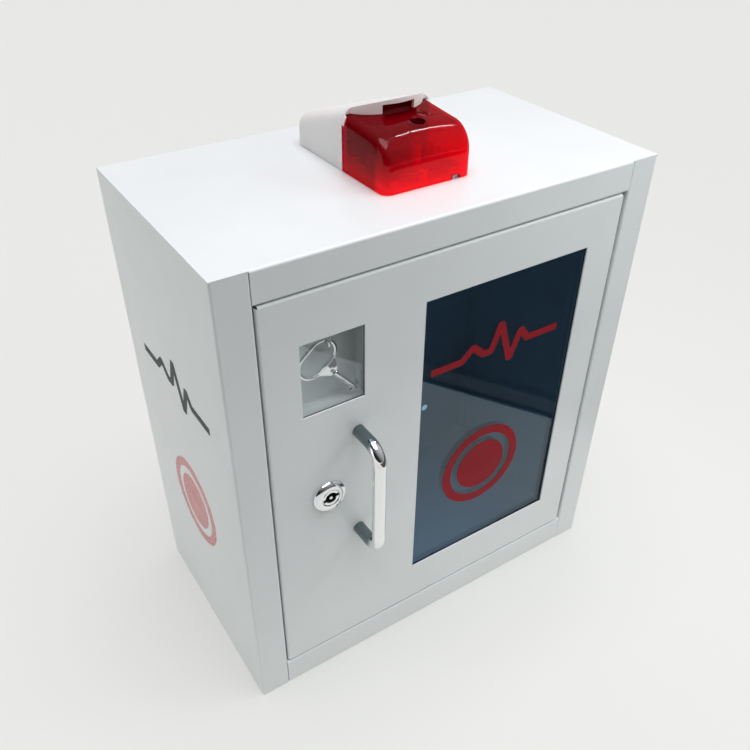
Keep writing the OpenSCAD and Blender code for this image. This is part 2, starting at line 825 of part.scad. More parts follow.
// Solid form of the lens, shrunk by g
module lens_form(g) {
    intersection() {
        translate([siren_x, seam_y, case_h]) rotate([lens_fall, 0, 0])
            translate([0, 10, 0]) rotate([90, 0, 0]) linear_extrude(lens_l + 20)
                polygon(shell_section(siren_w / 2, lens_top, lens_edge, lens_crown, g));
        translate([siren_x - siren_w / 2 - 5, 0, case_h]) along_x(siren_w + 10)
            polygon(concat([[seam_y, -1], [seam_y, 60], [siren_y + 30, 60]],
                           arc(siren_y + lens_nose, 37 - lens_nose, lens_nose - g, 98, 180, 12),
                           [[siren_y + g, -1]]));
        translate([0, 0, case_h]) linear_extrude(60)
            plan([siren_x - siren_w / 2 + g, siren_x + siren_w / 2 - g],
                 [siren_y + g, seam_y + 20], 6.5 - g);
    }
}

module siren_base() {
    inner = shell_t + 0.3;
    color(white) difference() {
        union() {
            translate([0, 0, case_h]) linear_extrude(2.5)
                plan([siren_x - siren_w / 2 + inner, siren_x + siren_w / 2 - inner],
                     [siren_y + inner, siren_back - inner], 5);
            for (p = siren_fix) translate([p[0], p[1], case_h]) cylinder(d = 8, h = 8);
            translate([lens_fix[0], lens_fix[1], case_h])
                cylinder(d = pillar_d, h = lens_seat - lens_boss_floor - case_h);
            for (x = [-24, 24], y = [siren_y + 8, seam_y - 8])
                translate([siren_x + x, y, case_h]) cylinder(d = 5, h = 7);
        }
        for (p = siren_fix) translate([p[0], p[1], case_h - 1]) cylinder(d = 3.5, h = 8);
        translate([lens_fix[0], lens_fix[1], lens_screw_end]) cylinder(d = 3, h = 30);
        translate([cable_at[0], cable_at[1], case_h - 1]) cylinder(d = siren_lead_d, h = 5);
    }
}

// Screws from inside the case into the siren's base
module siren_screws() {
    color(steel) for (p = siren_fix) translate([p[0], p[1], 0]) {
        translate([0, 0, roof_z]) cylinder(d = 3.5, h = 7);
        translate([0, 0, roof_z - 2.6]) cylinder(d = 8, h = 2.6);
    }
}

board_z = case_h + 7;

module siren_board() {
    color([0.10, 0.30, 0.18]) difference() {
        block([siren_x - 29, siren_y + 5, board_z], [siren_x + 29, seam_y - 4, board_z + 1.6]);
        translate([siren_fix[0][0], siren_fix[0][1], board_z - 1]) cylinder(d = 9, h = 4);
        translate([lens_fix[0], lens_fix[1], board_z - 1]) cylinder(d = pillar_d + 1, h = 4);
    }
}

// Light-emitting diodes in three rows along the board
module strobe_leds() {
    color([0.95, 0.6, 0.6]) for (x = [-24, -13, 22], y = [12, 21, 30, 39])
        translate([siren_x + x, siren_y + y, board_z + 1.6]) {
            cylinder(d = 5.6, h = 1);
            cylinder(d = 5, h = 6);
            translate([0, 0, 6]) sphere(d = 5);
        }
}

module siren_sounder() {
    color(black) translate([siren_x - 4, 24, case_h + 2.5]) {
        cylinder(d = 40, h = 12);
        translate([0, 0, 12]) cylinder(d1 = 36, d2 = 20, h = 6);
    }
}

// White rear cover, whose round tongue reaches over the lens and holds the sound slot
module siren_housing() {
    color(white) difference() {
        housing_form(0);
        housing_form(shell_t);
        difference() {
            lens_form(-0.1);
            block([-100, seam_y + 0.05, case_h - 1], [100, siren_back, case_h + 60]);
        }
        block([siren_x - slot_w / 2, tongue_y - 5, case_h + slot_z[0]],
              [siren_x + slot_w / 2, tongue_y + 9, case_h + slot_z[1]]);
    }
}

// Screw of the lens: its place, the recess's floor, the seat of its head, and its end
lens_fix = [siren_x + 2.25, siren_y + 19.5];
lens_floor = case_h + 34;
lens_seat = case_h + 27;
lens_screw_end = case_h + 14;
lens_hole_d = 11;
lens_head_d = 6.4;
lens_boss_floor = 3;
pillar_d = 7;

module at_lens_screw(z) {
    translate([lens_fix[0], lens_fix[1], z]) children();
}

// Red lens: a thin shell with a boss round the recess of its screw
module siren_lens() {
    color([0.85, 0.04, 0.06, 0.75]) difference() {
        lens_form(0);
        difference() {
            intersection() {
                lens_form(shell_t);
                block([-100, siren_y - 1, case_h - 2], [100, seam_y + 1, case_h + 60]);
            }
            at_lens_screw(lens_floor - shell_t) cylinder(d = lens_hole_d + 2 * shell_t, h = 30);
            at_lens_screw(lens_seat - lens_boss_floor) cylinder(d = lens_head_d + 3, h = 30);
        }
        block([siren_x + 20, siren_y - 1, case_h - 1], [siren_x + 26, siren_y + 4, case_h + 3]);
        at_lens_screw(lens_floor) cylinder(d = lens_hole_d, h = 20);
        at_lens_screw(lens_seat) cylinder(d = lens_head_d, h = 20);
        at_lens_screw(lens_seat - lens_boss_floor - 1) cylinder(d = 3, h = 20);
    }
}

module lens_screw() {
    color(steel) {
        at_lens_screw(lens_screw_end) cylinder(d = 3, h = lens_seat - lens_screw_end);
        at_lens_screw(lens_seat) difference() {
            cylinder(d = 6, h = 1.6);
            translate([0, 0, 1.6]) cube([4, 1, 1.4], center = true);
            translate([0, 0, 1.6]) cube([1, 4, 1.4], center = true);
        }
    }
}

module cable_grommet() {
    color(black) translate([cable_at[0], cable_at[1], 0]) difference() {
        union() {
            translate([0, 0, roof_z]) cylinder(d = grommet_d, h = sheet_t);
            translate([0, 0, roof_z - 1.5]) cylinder(d = 14, h = 1.5);
        }
        translate([0, 0, roof_z - 2]) cylinder(d = siren_lead_d, h = sheet_t + 3);
    }
}

// Lead from the siren down through the roof and across to the battery box
module siren_cable() {
    bend = 6;
    top = case_h + 4;
    turn_z = siren_lead_z + bend;
    color(black) translate([cable_at[0], cable_at[1], 0]) {
        translate([0, 0, turn_z]) cylinder(d = siren_lead_d, h = top - turn_z);
        translate([bend, 0, turn_z]) rotate([90, 0, 0]) rotate([0, 0, 180])
            rotate_extrude(angle = 90) translate([bend, 0]) circle(d = siren_lead_d);
        translate([bend, 0, siren_lead_z]) rotate([0, 90, 0])
            cylinder(d = siren_lead_d, h = box_x[0] + box_wall - cable_at[0] - bend);
    }
}

// Plain graphics: a pulse line over a disc in a ring --------------------------------------

graphic_t = 0.2;
pulse_size = [129, 43];
pulse_w = 6;
// Pulse line as fractions of its width and height
pulse = [[-0.48, -0.1], [-0.26, -0.1], [-0.18, 0.12], [-0.10, -0.1], [-0.04, -0.1],
         [0.02, 0.43], [0.11, -0.43], [0.18, 0.14], [0.24, -0.1], [0.48, -0.1]];

module pulse_2d() {
    polygon(ribbon([for (p = pulse) [p[0] * pulse_size[0], p[1] * pulse_size[1]]], pulse_w));
}

module disc_2d(d) {
    circle(d = 0.62 * d);
    difference() {
        circle(d = d);
        circle(d = 0.80 * d);
    }
}

module window_graphic() {
    color([0.55, 0.06, 0.12]) translate([0, pane_y, 0]) rotate([90, 0, 0])
        linear_extrude(graphic_t) {
            translate([42.7, 278.6]) pulse_2d();
            translate([40, 157]) disc_2d(80);
        }
}

module on_left_side(z) {
    translate([-half_w, 0, z]) rotate([90, 0, -90]) linear_extrude(graphic_t) children();
}

module left_side_pulse() {
    color(print_grey) on_left_side(272) pulse_2d();
}

module left_side_disc() {
    color(print_red) on_left_side(150.5) disc_2d(79);
}

module right_side_pulse() {
    mirror([1, 0, 0]) left_side_pulse();
}

module right_side_disc() {
    mirror([1, 0, 0]) left_side_disc();
}

left_side_panel();
right_side_panel();
top_panel();
bottom_panel();
back_panel();
door_stops();
stop_bumpers();
hinge_bushes();
door_panel();
hinge_pins();
window_seal();
window_pane();
window_studs();
window_clips();
window_nuts();
window_graphic();
key_seal();
key_pane();
key_box();
key_box_studs();
key_box_nuts();
key_peg();
spare_key();
door_handle();
handle_screws();
lock_body();
lock_nut();
lock_cylinder();
lock_cam();
cam_nut();
contact_magnet();
contact_switch();
contact_bracket();
contact_cable();
battery_box();
battery_lid();
battery_studs();
battery_nuts();
batteries();
battery_contacts();
alarm_switch_body();
alarm_rocker();
siren_cable();
cable_grommet();
siren_base();
siren_screws();
siren_board();
strobe_leds();
siren_sounder();
siren_housing();
siren_lens();
lens_screw();
left_side_pulse();
left_side_disc();
right_side_pulse();
right_side_disc();
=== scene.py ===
"""Looks of a defibrillator wall cabinet with a strobe siren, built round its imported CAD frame."""

import math

import bmesh
import bpy
from mathutils import Matrix, Vector


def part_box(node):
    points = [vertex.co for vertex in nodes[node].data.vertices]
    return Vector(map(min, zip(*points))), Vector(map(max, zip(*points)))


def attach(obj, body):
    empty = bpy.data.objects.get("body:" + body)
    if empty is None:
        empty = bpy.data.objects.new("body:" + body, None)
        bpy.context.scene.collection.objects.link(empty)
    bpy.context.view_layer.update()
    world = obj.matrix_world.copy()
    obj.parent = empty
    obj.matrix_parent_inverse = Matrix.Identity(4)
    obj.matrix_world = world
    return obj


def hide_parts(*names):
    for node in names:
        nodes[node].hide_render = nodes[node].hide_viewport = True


MM = 0.001
TOUCHING = 2e-6  # metres between points that count as one

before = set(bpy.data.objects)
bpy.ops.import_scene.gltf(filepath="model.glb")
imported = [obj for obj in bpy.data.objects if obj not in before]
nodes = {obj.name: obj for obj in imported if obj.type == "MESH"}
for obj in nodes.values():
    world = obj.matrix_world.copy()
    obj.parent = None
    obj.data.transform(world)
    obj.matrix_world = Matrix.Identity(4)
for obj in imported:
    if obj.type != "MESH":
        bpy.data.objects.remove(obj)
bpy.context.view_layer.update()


# Measures taken from the frame, in millimetres ------------------------


def box_mm(node):
    """Lowest and highest corner of a CAD node, in millimetres."""
    low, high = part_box(node)
    return low / MM, high / MM


def centre_mm(node):
    low, high = box_mm(node)
    return (low + high) / 2


# Materials ------------------------


def new_material(name, colour, roughness, metallic=0.0, **sockets):
    """A Principled material, with further sockets set by name (underscores for spaces)."""
    m = bpy.data.materials.new(name)
    m.use_nodes = True
    sockets |= {"Base_Color": (*colour, 1), "Roughness": roughness, "Metallic": metallic}
    for key, value in sockets.items():
        principled(m).inputs[key.replace("_", " ")].default_value = value
    return m


def noise(m, scale, detail):
    """A noise texture on the object's own coordinates; scale is in cycles per metre."""
    tree = m.node_tree
    place = tree.nodes.new("ShaderNodeTexCoord")
    texture = tree.nodes.new("ShaderNodeTexNoise")
    texture.inputs["Scale"].default_value = scale
    texture.inputs["Detail"].default_value = detail
    tree.links.new(place.outputs["Object"], texture.inputs["Vector"])
    return texture.outputs["Fac"]


def colour_ramp(m, factor, low, high, start=0.3, end=0.7):
    """A colour that runs from low to high while the factor runs from start to end."""
    tree = m.node_tree
    ramp = tree.nodes.new("ShaderNodeValToRGB")
    for element, place, colour in zip(ramp.color_ramp.elements, (start, end), (low, high)):
        element.position = place
        element.color = (*colour, 1)
    tree.links.new(factor, ramp.inputs["Fac"])
    return ramp.outputs["Color"]


def map_range(tree, value, start, end, low=0.0, high=1.0):
    """A value that runs from low to high while another runs from start to end."""
    span = tree.nodes.new("ShaderNodeMapRange")
    for key, number in (("From Min", start), ("From Max", end), ("To Min", low), ("To Max", high)):
        span.inputs[key].default_value = number
    tree.links.new(value, span.inputs["Value"])
    return span.outputs["Result"]


def math_node(tree, operation, *terms, clamp=False):
    """A sum or other operation on terms that are numbers or other nodes' outputs."""
    node = tree.nodes.new("ShaderNodeMath")
    node.operation = operation
    node.use_clamp = clamp
    for socket, term in zip(node.inputs, terms):
        if isinstance(term, (int, float)):
            socket.default_value = term
        else:
            tree.links.new(term, socket)
    return node.outputs[0]


def mix_shaders(tree, share, first, second):
    """Two shaders mixed by a share, which is a number or another node's output."""
    mix = tree.nodes.new("ShaderNodeMixShader")
    if isinstance(share, float):
        mix.inputs["Fac"].default_value = share
    else:
        tree.links.new(share, mix.inputs["Fac"])
    tree.links.new(first, mix.inputs[1])
    tree.links.new(second, mix.inputs[2])
    return mix.outputs["Shader"]


def mirror_share(tree, straight_on, more_at_grazing):
    """Share of light that a surface mirrors, which rises steeply toward a grazing view."""
    facing = tree.nodes.new("ShaderNodeLayerWeight")
    facing.inputs["Blend"].default_value = 0.5
    rise = math_node(tree, "POWER", facing.outputs["Facing"], 5)
    return math_node(tree, "MULTIPLY_ADD", rise, more_at_grazing, straight_on)


def object_axes(tree):
    """The object's own coordinates, split into its X, Y and Z, in metres."""
    place = tree.nodes.new("ShaderNodeTexCoord")
    split = tree.nodes.new("ShaderNodeSeparateXYZ")
    tree.links.new(place.outputs["Object"], split.inputs["Vector"])
    return split.outputs


def principled(m):
    return m.node_tree.nodes["Principled BSDF"]


def surface(m):
    return m.node_tree.nodes["Material Output"].inputs["Surface"]


def vary_colour(m, factor, low, high):
    m.node_tree.links.new(colour_ramp(m, factor, low, high), principled(m).inputs["Base Color"])


def vary_roughness(m, factor, low, high):
    rough = map_range(m.node_tree, factor, 0.3, 0.7, low, high)
    m.node_tree.links.new(rough, principled(m).inputs["Roughness"])


def bump(m, factor, strength, depth_mm):
    tree = m.node_tree
    node = tree.nodes.new("ShaderNodeBump")
    node.inputs["Strength"].default_value = strength
    node.inputs["Distance"].default_value = depth_mm * MM
    tree.links.new(factor, node.inputs["Height"])
    tree.links.new(node.outputs["Normal"], principled(m).inputs["Normal"])


def textured(name, low, high, rough, grain, depth_mm, metallic=0.0, **sockets):
    """A material whose colour and roughness drift, with a fine grain in its surface."""
    m = new_material(name, high, rough[0], metallic, **sockets)
    vary_colour(m, noise(m, 14, 4), low, high)
    vary_roughness(m, noise(m, 60, 4), *rough)
    bump(m, noise(m, grain, 3), 0.4, depth_mm)
    return m


# Name, darkest and lightest colour, roughness, grains per metre, their depth in mm, metallic.
FINISHES = {
    "paint": ("powder_coat", (0.745, 0.785, 0.785), (0.78, 0.82, 0.82), (0.30, 0.38), 700, 0.03),
    "zinc": ("zinc_plate", (0.52, 0.53, 0.54), (0.66, 0.66, 0.65), (0.28, 0.45), 900, 0.01, 1.0),
    "chrome": ("chrome_plate", (0.80, 0.81, 0.82), (0.86, 0.87, 0.88), (0.03, 0.07), 500, 0.001, 1.0),
    "handle": ("handle_chrome", (0.84, 0.85, 0.85), (0.88, 0.89, 0.88), (0.03, 0.07), 500, 0.001, 1.0),
    "nickel": ("bright_nickel", (0.74, 0.73, 0.70), (0.84, 0.83, 0.80), (0.08, 0.16), 900, 0.004, 1.0),
    "white": ("white_plastic", (0.84, 0.83, 0.81), (0.88, 0.87, 0.85), (0.30, 0.40), 1200, 0.01),
    "black": ("black_plastic", (0.018, 0.018, 0.020), (0.035, 0.035, 0.038), (0.38, 0.55), 1500, 0.02),
    "red": ("red_plastic", (0.50, 0.012, 0.018), (0.62, 0.02, 0.025), (0.22, 0.32), 1200, 0.01),
    "rubber": ("black_rubber", (0.012, 0.012, 0.012), (0.028, 0.028, 0.028), (0.60, 0.80), 1800, 0.03),
    "foam": ("foam_tape", (0.010, 0.010, 0.011), (0.03, 0.03, 0.032), (0.85, 0.95), 2600, 0.12),
    "nylon": ("nylon", (0.72, 0.70, 0.62), (0.80, 0.78, 0.70), (0.35, 0.48), 900, 0.01),
    "wrap": ("cell_wrap", (0.035, 0.038, 0.042), (0.06, 0.064, 0.07), (0.20, 0.30), 900, 0.01),
    "copper": ("copper_band", (0.58, 0.27, 0.13), (0.70, 0.34, 0.18), (0.22, 0.32), 900, 0.01, 1.0),
    "window_print": ("window_film", (0.25, 0.004, 0.010), (0.29, 0.006, 0.014), (0.50, 0.60), 1600,
                     0.01),
    "side_red": ("side_film_red", (0.60, 0.16, 0.16), (0.66, 0.19, 0.19), (0.22, 0.34), 1600, 0.01),
    "side_grey": ("side_film_grey", (0.032, 0.042, 0.045), (0.045, 0.055, 0.058), (0.55, 0.65),
                  1600, 0.01),
    # Near-black red, painted as shade on the lens's recess wall and notch faces.
    "deep_red": ("red_edge_painted_shade", (0.05, 0.0, 0.004), (0.10, 0.0, 0.006), (0.25, 0.4), 900, 0.01),
    # Near-black, painted as shade inside the lock plug's key slot.
    "keyway_painted_shade": ("keyway_painted_shade", (0.012, 0.012, 0.013), (0.02, 0.02, 0.022), (0.5, 0.7), 900, 0.01),
}
FURTHER_SOCKETS = {
    "paint": {"Coat_Weight": 0.25, "Coat_Roughness": 0.18},
    "white": {"Subsurface_Weight": 0.15, "Subsurface_Scale": 0.001},
    "nylon": {"Subsurface_Weight": 0.2, "Subsurface_Scale": 0.001},
    "window_print": {"Specular_IOR_Level": 0.15},
}


def make_materials():
    """All materials by their short names."""
    made = {key: textured(*finish, **FURTHER_SOCKETS.get(key, {}))
            for key, finish in FINISHES.items()}
    # The handle's legs get a painted dark reflection.
    paint_dark_reflection_on_legs(made["handle"])
    made["pane"] = flat_pane("tinted_acrylic", (0.53, 0.69, 0.80), (0.49, 0.65, 0.77))
    made["clear"] = flat_pane("clear_acrylic", (0.985, 0.99, 0.99), (0.96, 0.98, 0.975))
    made["lens"] = tinted_shell("red_lens", (0.74, 0.010, 0.060), (0.50, 0.0, 0.012), 0.20)
    made["led"] = epoxy("led_epoxy", (0.98, 0.80, 0.78), (0.92, 0.70, 0.70), 0.85)
    made["board"] = board_material()
    return made


def epoxy(name, high, low, through):
    """Tinted cast plastic, with a faint drift of colour and of its surface."""
    m = new_material(name, high, 0.02, Transmission_Weight=through, IOR=1.49)
    vary_colour(m, noise(m, 9, 2), low, high)
    vary_roughness(m, noise(m, 40, 3), 0.01, 0.04)
    bump(m, noise(m, 30, 2), 0.15, 0.02)
    return m


def flat_pane(name, high, low):
    """Flat clear sheet: light goes straight through its tint, and both faces mirror like plastic."""
    m = new_material(name, (0.86, 0.94, 1), 0.02, 1)
    tree = m.node_tree
    tint = tree.nodes.new("ShaderNodeBsdfTransparent")
    tree.links.new(colour_ramp(m, noise(m, 9, 2), low, high, 0, 1), tint.inputs["Color"])
    mixed = mix_shaders(tree, mirror_share(tree, 0.055, 0.96), tint.outputs["BSDF"],
                        principled(m).outputs["BSDF"])
    tree.links.new(mixed, surface(m))
    return m


def painted_lens_light(tree):
    """Strength of light painted into the lens as red emission: strong low down at its front and right,
    none at its top.
    """
    axes = object_axes(tree)

    def fade(axis, start, end, low, high):
        return map_range(tree, axes[axis], start, end, low, high)

    low_down = fade("Z", 0.434, 0.404, 0.6, 1.7)
    at_front = fade("Y", -0.0415, -0.0445, 0.30, 1.0)
    to_right = fade("X", -0.030, 0.016, 0.12, 1.0)
    near_foot = fade("Z", 0.424, 0.408, 0.0, 0.8)
    below_top = fade("Z", 0.437, 0.432, 0.0, 1.0)
    lit_side = math_node(tree, "ADD", to_right, near_foot, clamp=True)
    painted_front_light = math_node(tree, "MULTIPLY", low_down, at_front)
    return math_node(tree, "MULTIPLY", painted_front_light, math_node(tree, "MULTIPLY", lit_side, below_top))


def tinted_shell(name, through, body, share):
    """Thin moulded shell that lets tinted light straight through, scatters some, and has a little
    light painted in as emission.
    """
    m = new_material(name, body, 0.35, Specular_IOR_Level=0.0)
    tree = m.node_tree
    scatter = principled(m)
    vary_colour(m, noise(m, 22, 3), [c * 0.86 for c in body], body)
    # Painted light: red emission that brightens the lens low at its front and right.
    scatter.inputs["Emission Color"].default_value = (1.0, 0.0, 0.012, 1)
    tree.links.new(painted_lens_light(tree), scatter.inputs["Emission Strength"])
    tint = tree.nodes.new("ShaderNodeBsdfTransparent")
    tint.inputs["Color"].default_value = (*through, 1)
    mirror = tree.nodes.new("ShaderNodeBsdfPrincipled")
    mirror.inputs["Metallic"].default_value = 1
    mirror.inputs["Base Color"].default_value = (1, 1, 1, 1)
    mirror.inputs["Roughness"].default_value = 0.06
    tinted = mix_shaders(tree, share, tint.outputs["BSDF"], scatter.outputs["BSDF"])
    glossy = mix_shaders(tree, mirror_share(tree, 0.016, 0.22), tinted, mirror.outputs["BSDF"])
    tree.links.new(glossy, surface(m))
    return m


def paint_dark_reflection_on_legs(m):
    """Paints a dark reflection onto the handle's chrome on its legs, near the door."""
    tree = m.node_tree
    colour = principled(m).inputs["Base Color"]
    blend = tree.nodes.new("ShaderNodeMix")
    blend.data_type = "RGBA"
    tree.links.new(map_range(tree, object_axes(tree)["Y"], -0.1215, -0.1165), blend.inputs[0])
    tree.links.new(colour.links[0].from_socket, blend.inputs[6])
    # Colour of the painted dark reflection on the legs.
    blend.inputs[7].default_value = (0.20, 0.245, 0.26, 1)
    tree.links.new(blend.outputs[2], colour)


def board_material():
    """Green solder mask with lighter copper tracks under it."""
    m = new_material("circuit_board", (0.01, 0.10, 0.05), 0.3, Coat_Weight=0.5)
    tree = m.node_tree
    place = tree.nodes.new("ShaderNodeTexCoord")
    tracks = tree.nodes.new("ShaderNodeTexBrick")
    tracks.inputs["Scale"].default_value = 160
    tracks.inputs["Mortar Size"].default_value = 0.06
    tracks.inputs["Color1"].default_value = (0.008, 0.085, 0.04, 1)
    tracks.inputs["Color2"].default_value = (0.012, 0.11, 0.05, 1)
    tracks.inputs["Mortar"].default_value = (0.03, 0.20, 0.09, 1)
    tree.links.new(place.outputs["Object"], tracks.inputs["Vector"])
    tree.links.new(tracks.outputs["Color"], principled(m).inputs["Base Color"])
    bump(m, tracks.outputs["Fac"], 0.3, 0.03)
    return m


paints = make_materials()


# Mesh building ------------------------


def rings_to_mesh(rings, closed=True, caps=True):
    """(points, faces) of a skin over rings of equal length, with both its ends capped or open."""
    points = [p for ring in rings for p in ring]
    n = len(rings[0])
    faces = []
    for i in range(len(rings) - 1):
        for k in range(n if closed else n - 1):
            a, b = i * n + k, i * n + (k + 1) % n
            faces.append((a, b, b + n, a + n))
    if caps:
        faces.append(tuple(reversed(range(n))))
        faces.append(tuple(range((len(rings) - 1) * n, len(rings) * n)))
    return points, faces


def along(axis):
    """Matrix that takes +Z to an axis."""
    return Vector(axis).to_track_quat("Z", "Y").to_matrix()


def quarter(steps, first=0):
    """Angles that divide a quarter turn evenly, from the given step to the last."""
    return [math.pi / 2 * k / steps for k in range(first, steps + 1)]


def lathe(profile, at, axis=(0, 0, 1), segments=64):
    """A turned solid: profile is (radius, height) pairs, and a radius of 0 closes an end."""
    turn = along(axis)
    rings = []
    for radius, height in profile:
        r = max(radius, 1e-4)
        rings.append([Vector(at) + turn @ Vector((r * math.cos(a), r * math.sin(a), height))
                      for a in (math.tau * k / segments for k in range(segments))])
    return rings_to_mesh(rings, caps=profile[0] != profile[-1])


def tube(path, radius, segments=16):
    """A round bar along a path of points; radius is one number, or one for each point."""
    points = [Vector(p) for p in path]
    radii = radius if isinstance(radius, list) else [radius] * len(points)
    tangents = [(points[min(i + 1, len(points) - 1)] - points[max(i - 1, 0)]).normalized()
                for i in range(len(points))]
    side = tangents[0].orthogonal().normalized()
    rings = []
    for point, tangent, r in zip(points, tangents, radii):
        side = (side - tangent * side.dot(tangent)).normalized()
        up = tangent.cross(side)
        rings.append([point + (side * math.cos(a) + up * math.sin(a)) * r
                      for a in (math.tau * k / segments for k in range(segments))])
    return rings_to_mesh(rings)


def rounded_box(low, high, edge=0.4, segments=2):
    """A block with rounded edges."""
    bm = bmesh.new()
    bmesh.ops.create_cube(bm, size=1)
    low, high = Vector(low), Vector(high)
    for v in bm.verts:
        v.co = Vector(((low[i] + high[i]) / 2 + v.co[i] * (high[i] - low[i])) for i in range(3))
    bmesh.ops.bevel(bm, geom=bm.edges[:], offset=edge, segments=segments, profile=0.5,
                    affect="EDGES")
    return bmesh_parts(bm)


def bmesh_parts(bm):
    """(points, faces) of a bmesh, which is then freed."""
    bm.verts.index_update()
    points = [v.co.copy() for v in bm.verts]
    faces = [tuple(v.index for v in f.verts) for f in bm.faces]
    bm.free()
    return points, faces


def hexagon_nut(at, axis, across, height, bore, segments=72):
    """A hexagon nut with turned corners and a bore with a lead-in at each end."""
    turn = along(axis)
    lead = 0.35

    def ring(radius_at, z):
        return [Vector(at) + turn @ Vector((radius_at(a) * math.cos(a),
                                            radius_at(a) * math.sin(a), z))
                for a in (math.tau * k / segments for k in range(segments))]

    def hexagon(a):
        return across / 2 / math.cos((a + math.pi / 6) % (math.pi / 3) - math.pi / 6)

    def trimmed(a):
        return min(hexagon(a), across / 2 * 1.02)

    def inner(a):
        return bore / 2

    def mouth(a):
        return bore / 2 + lead

    rings = [ring(inner, lead), ring(mouth, 0), ring(trimmed, 0), ring(hexagon, 0.12 * across),
             ring(hexagon, height - 0.12 * across), ring(trimmed, height), ring(mouth, height),
             ring(inner, height - lead), ring(inner, lead)]
    return rings_to_mesh(rings, caps=False)


def threaded(at, axis, diameter, low, high, pitch):
    """A stud with the ridges of its thread and a tapered end."""
    root = diameter / 2 - 0.3 * pitch
    profile = [(0, low), (root, low)]
    z = low
    while z + pitch < high:
        profile += [(diameter / 2, z + pitch / 2), (root, z + pitch)]
        z += pitch
    profile += [(root * 0.8, high), (0, high)]
    return lathe(profile, at, axis, 24)


def pan_head(at, axis, diameter, height, shank, length):
    """A pan head screw; the axis points out of its head, which sits at the origin of the axis."""
    r = diameter / 2
    dome = [(r * math.sin(a), height * (0.35 + 0.65 * math.cos(a))) for a in reversed(quarter(6))]
    return lathe([(0, -length), (shank / 2 * 0.7, -length), (shank / 2, -length + 0.8),
                  (shank / 2, 0), (r, 0), *dome], at, axis, 40)


def cross_slots(at, axis, diameter, height):
    """The two bars of a cross recess, to be cut out of a screw head."""
    turn = along(axis)
    bars = []
    for spin in (turn, turn @ Matrix.Rotation(math.pi / 2, 3, "Z")):
        points, faces = rounded_box((-0.30 * diameter, -0.06 * diameter, 0.35 * height),
                                    (0.30 * diameter, 0.06 * diameter, 1.2 * height), 0.02, 1)
        bars.append(([Vector(at) + spin @ p for p in points], faces))
    return bars


def joined(name, parts):
    """One mesh of parts given in millimetres, with its faces turned outward."""
    bm = bmesh.new()
    for points, faces in parts:
        made = [bm.verts.new(Vector(p) * MM) for p in points]
        for face in faces:
            bm.faces.new([made[i] for i in face])
    bmesh.ops.remove_doubles(bm, verts=bm.verts[:], dist=TOUCHING)
    bmesh.ops.dissolve_degenerate(bm, edges=bm.edges[:], dist=TOUCHING / 20)
    bmesh.ops.recalc_face_normals(bm, faces=bm.faces[:])
    mesh = bpy.data.meshes.new(name)
    bm.to_mesh(mesh)
    bm.free()
    return mesh


def piece(name, parts, body, finish, stands_for=(), sharp=35.0):
    """One object of parts given in millimetres, which rides on a body."""
    return dressed(joined(name, parts), name, body, finish, stands_for, sharp)


def dressed(mesh, name, body, finish, stands_for, sharp):
    """An object round a mesh, with its body, finish and the CAD nodes that it stands for."""
    mesh.shade_smooth()
    mesh.set_sharp_from_angle(angle=math.radians(sharp))
    mesh.materials.append(paints[finish])
    made = bpy.data.objects.new(name, mesh)
    bpy.context.scene.collection.objects.link(made)
    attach(made, body)
    if stands_for:
        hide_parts(*stands_for)
    return made


def apply_modifiers(made):
    """Bakes an object's modifiers into its mesh."""
    bpy.context.view_layer.update()
    evaluated = made.evaluated_get(bpy.context.evaluated_depsgraph_get())
    fresh = bpy.data.meshes.new_from_object(evaluated)
    made.modifiers.clear()
    made.data = fresh


def thicken(made, thickness_mm):
    """Gives an open skin its wall, on the inside."""
    m = made.modifiers.new("wall", "SOLIDIFY")
    m.thickness = thickness_mm * MM
    m.offset = -1
    m.use_even_offset = True
    apply_modifiers(made)


def cut(made, parts, join=False):
    """Takes parts, given in millimetres, out of an object, or joins them to it."""
    for part in parts:
        tool = bpy.data.objects.new("cutter", joined("cutter", [part]))
        bpy.context.scene.collection.objects.link(tool)
        m = made.modifiers.new("cut", "BOOLEAN")
        m.object = tool
        m.operation = "UNION" if join else "DIFFERENCE"
        m.solver = "EXACT"
        apply_modifiers(made)
        bpy.data.objects.remove(tool)


def weld(made, distance_mm, test):
    """Joins points that a cut left all but touching, if their place in millimetres passes a test."""
    bm = bmesh.new()
    bm.from_mesh(made.data)
    chosen = [v for v in bm.verts if test(v.co / MM)]
    bmesh.ops.remove_doubles(bm, verts=chosen, dist=distance_mm * MM)
    bm.to_mesh(made.data)
    bm.free()


def sharpen(made, angle):
    """Shades a piece smooth, apart from edges that turn by more than an angle in degrees."""
    made.data.shade_smooth()
    made.data.set_sharp_from_angle(angle=math.radians(angle))


def repaint(finish, *names):
    """Gives CAD nodes that stay a better material."""
    for name in names:
        mesh = nodes[name].data
        mesh.materials.clear()
        mesh.materials.append(paints[finish])


def repaint_faces(made, finish, test):
    """Paints the faces of a piece whose centre, in millimetres, passes a test."""
    made.data.materials.append(paints[finish])
    last = len(made.data.materials) - 1
    for face in made.data.polygons:
        if test(face.center / MM):
            face.material_index = last


def node_mesh(node):
    """The mesh of a CAD node in its place, with touching points joined."""
    bm = bmesh.new()
    bm.from_mesh(nodes[node].data)
    bm.transform(nodes[node].matrix_world)
    bmesh.ops.remove_doubles(bm, verts=bm.verts[:], dist=TOUCHING)
    return bm


def islands(node):
    """Lowest and highest corner of each separate body of a CAD node, in a steady order."""
    bm = node_mesh(node)
    left, found = set(bm.verts), []
    while left:
        group = [left.pop()]
        for v in group:
            for edge in v.link_edges:
                other = edge.other_vert(v)
                if other in left:
                    left.remove(other)
                    group.append(other)
        found.append([Vector([pick(v.co[i] for v in group) for i in range(3)]) / MM
                      for pick in (min, max)])
    bm.free()
    return sorted(found, key=lambda corners: tuple(round(c) for c in corners[0]))


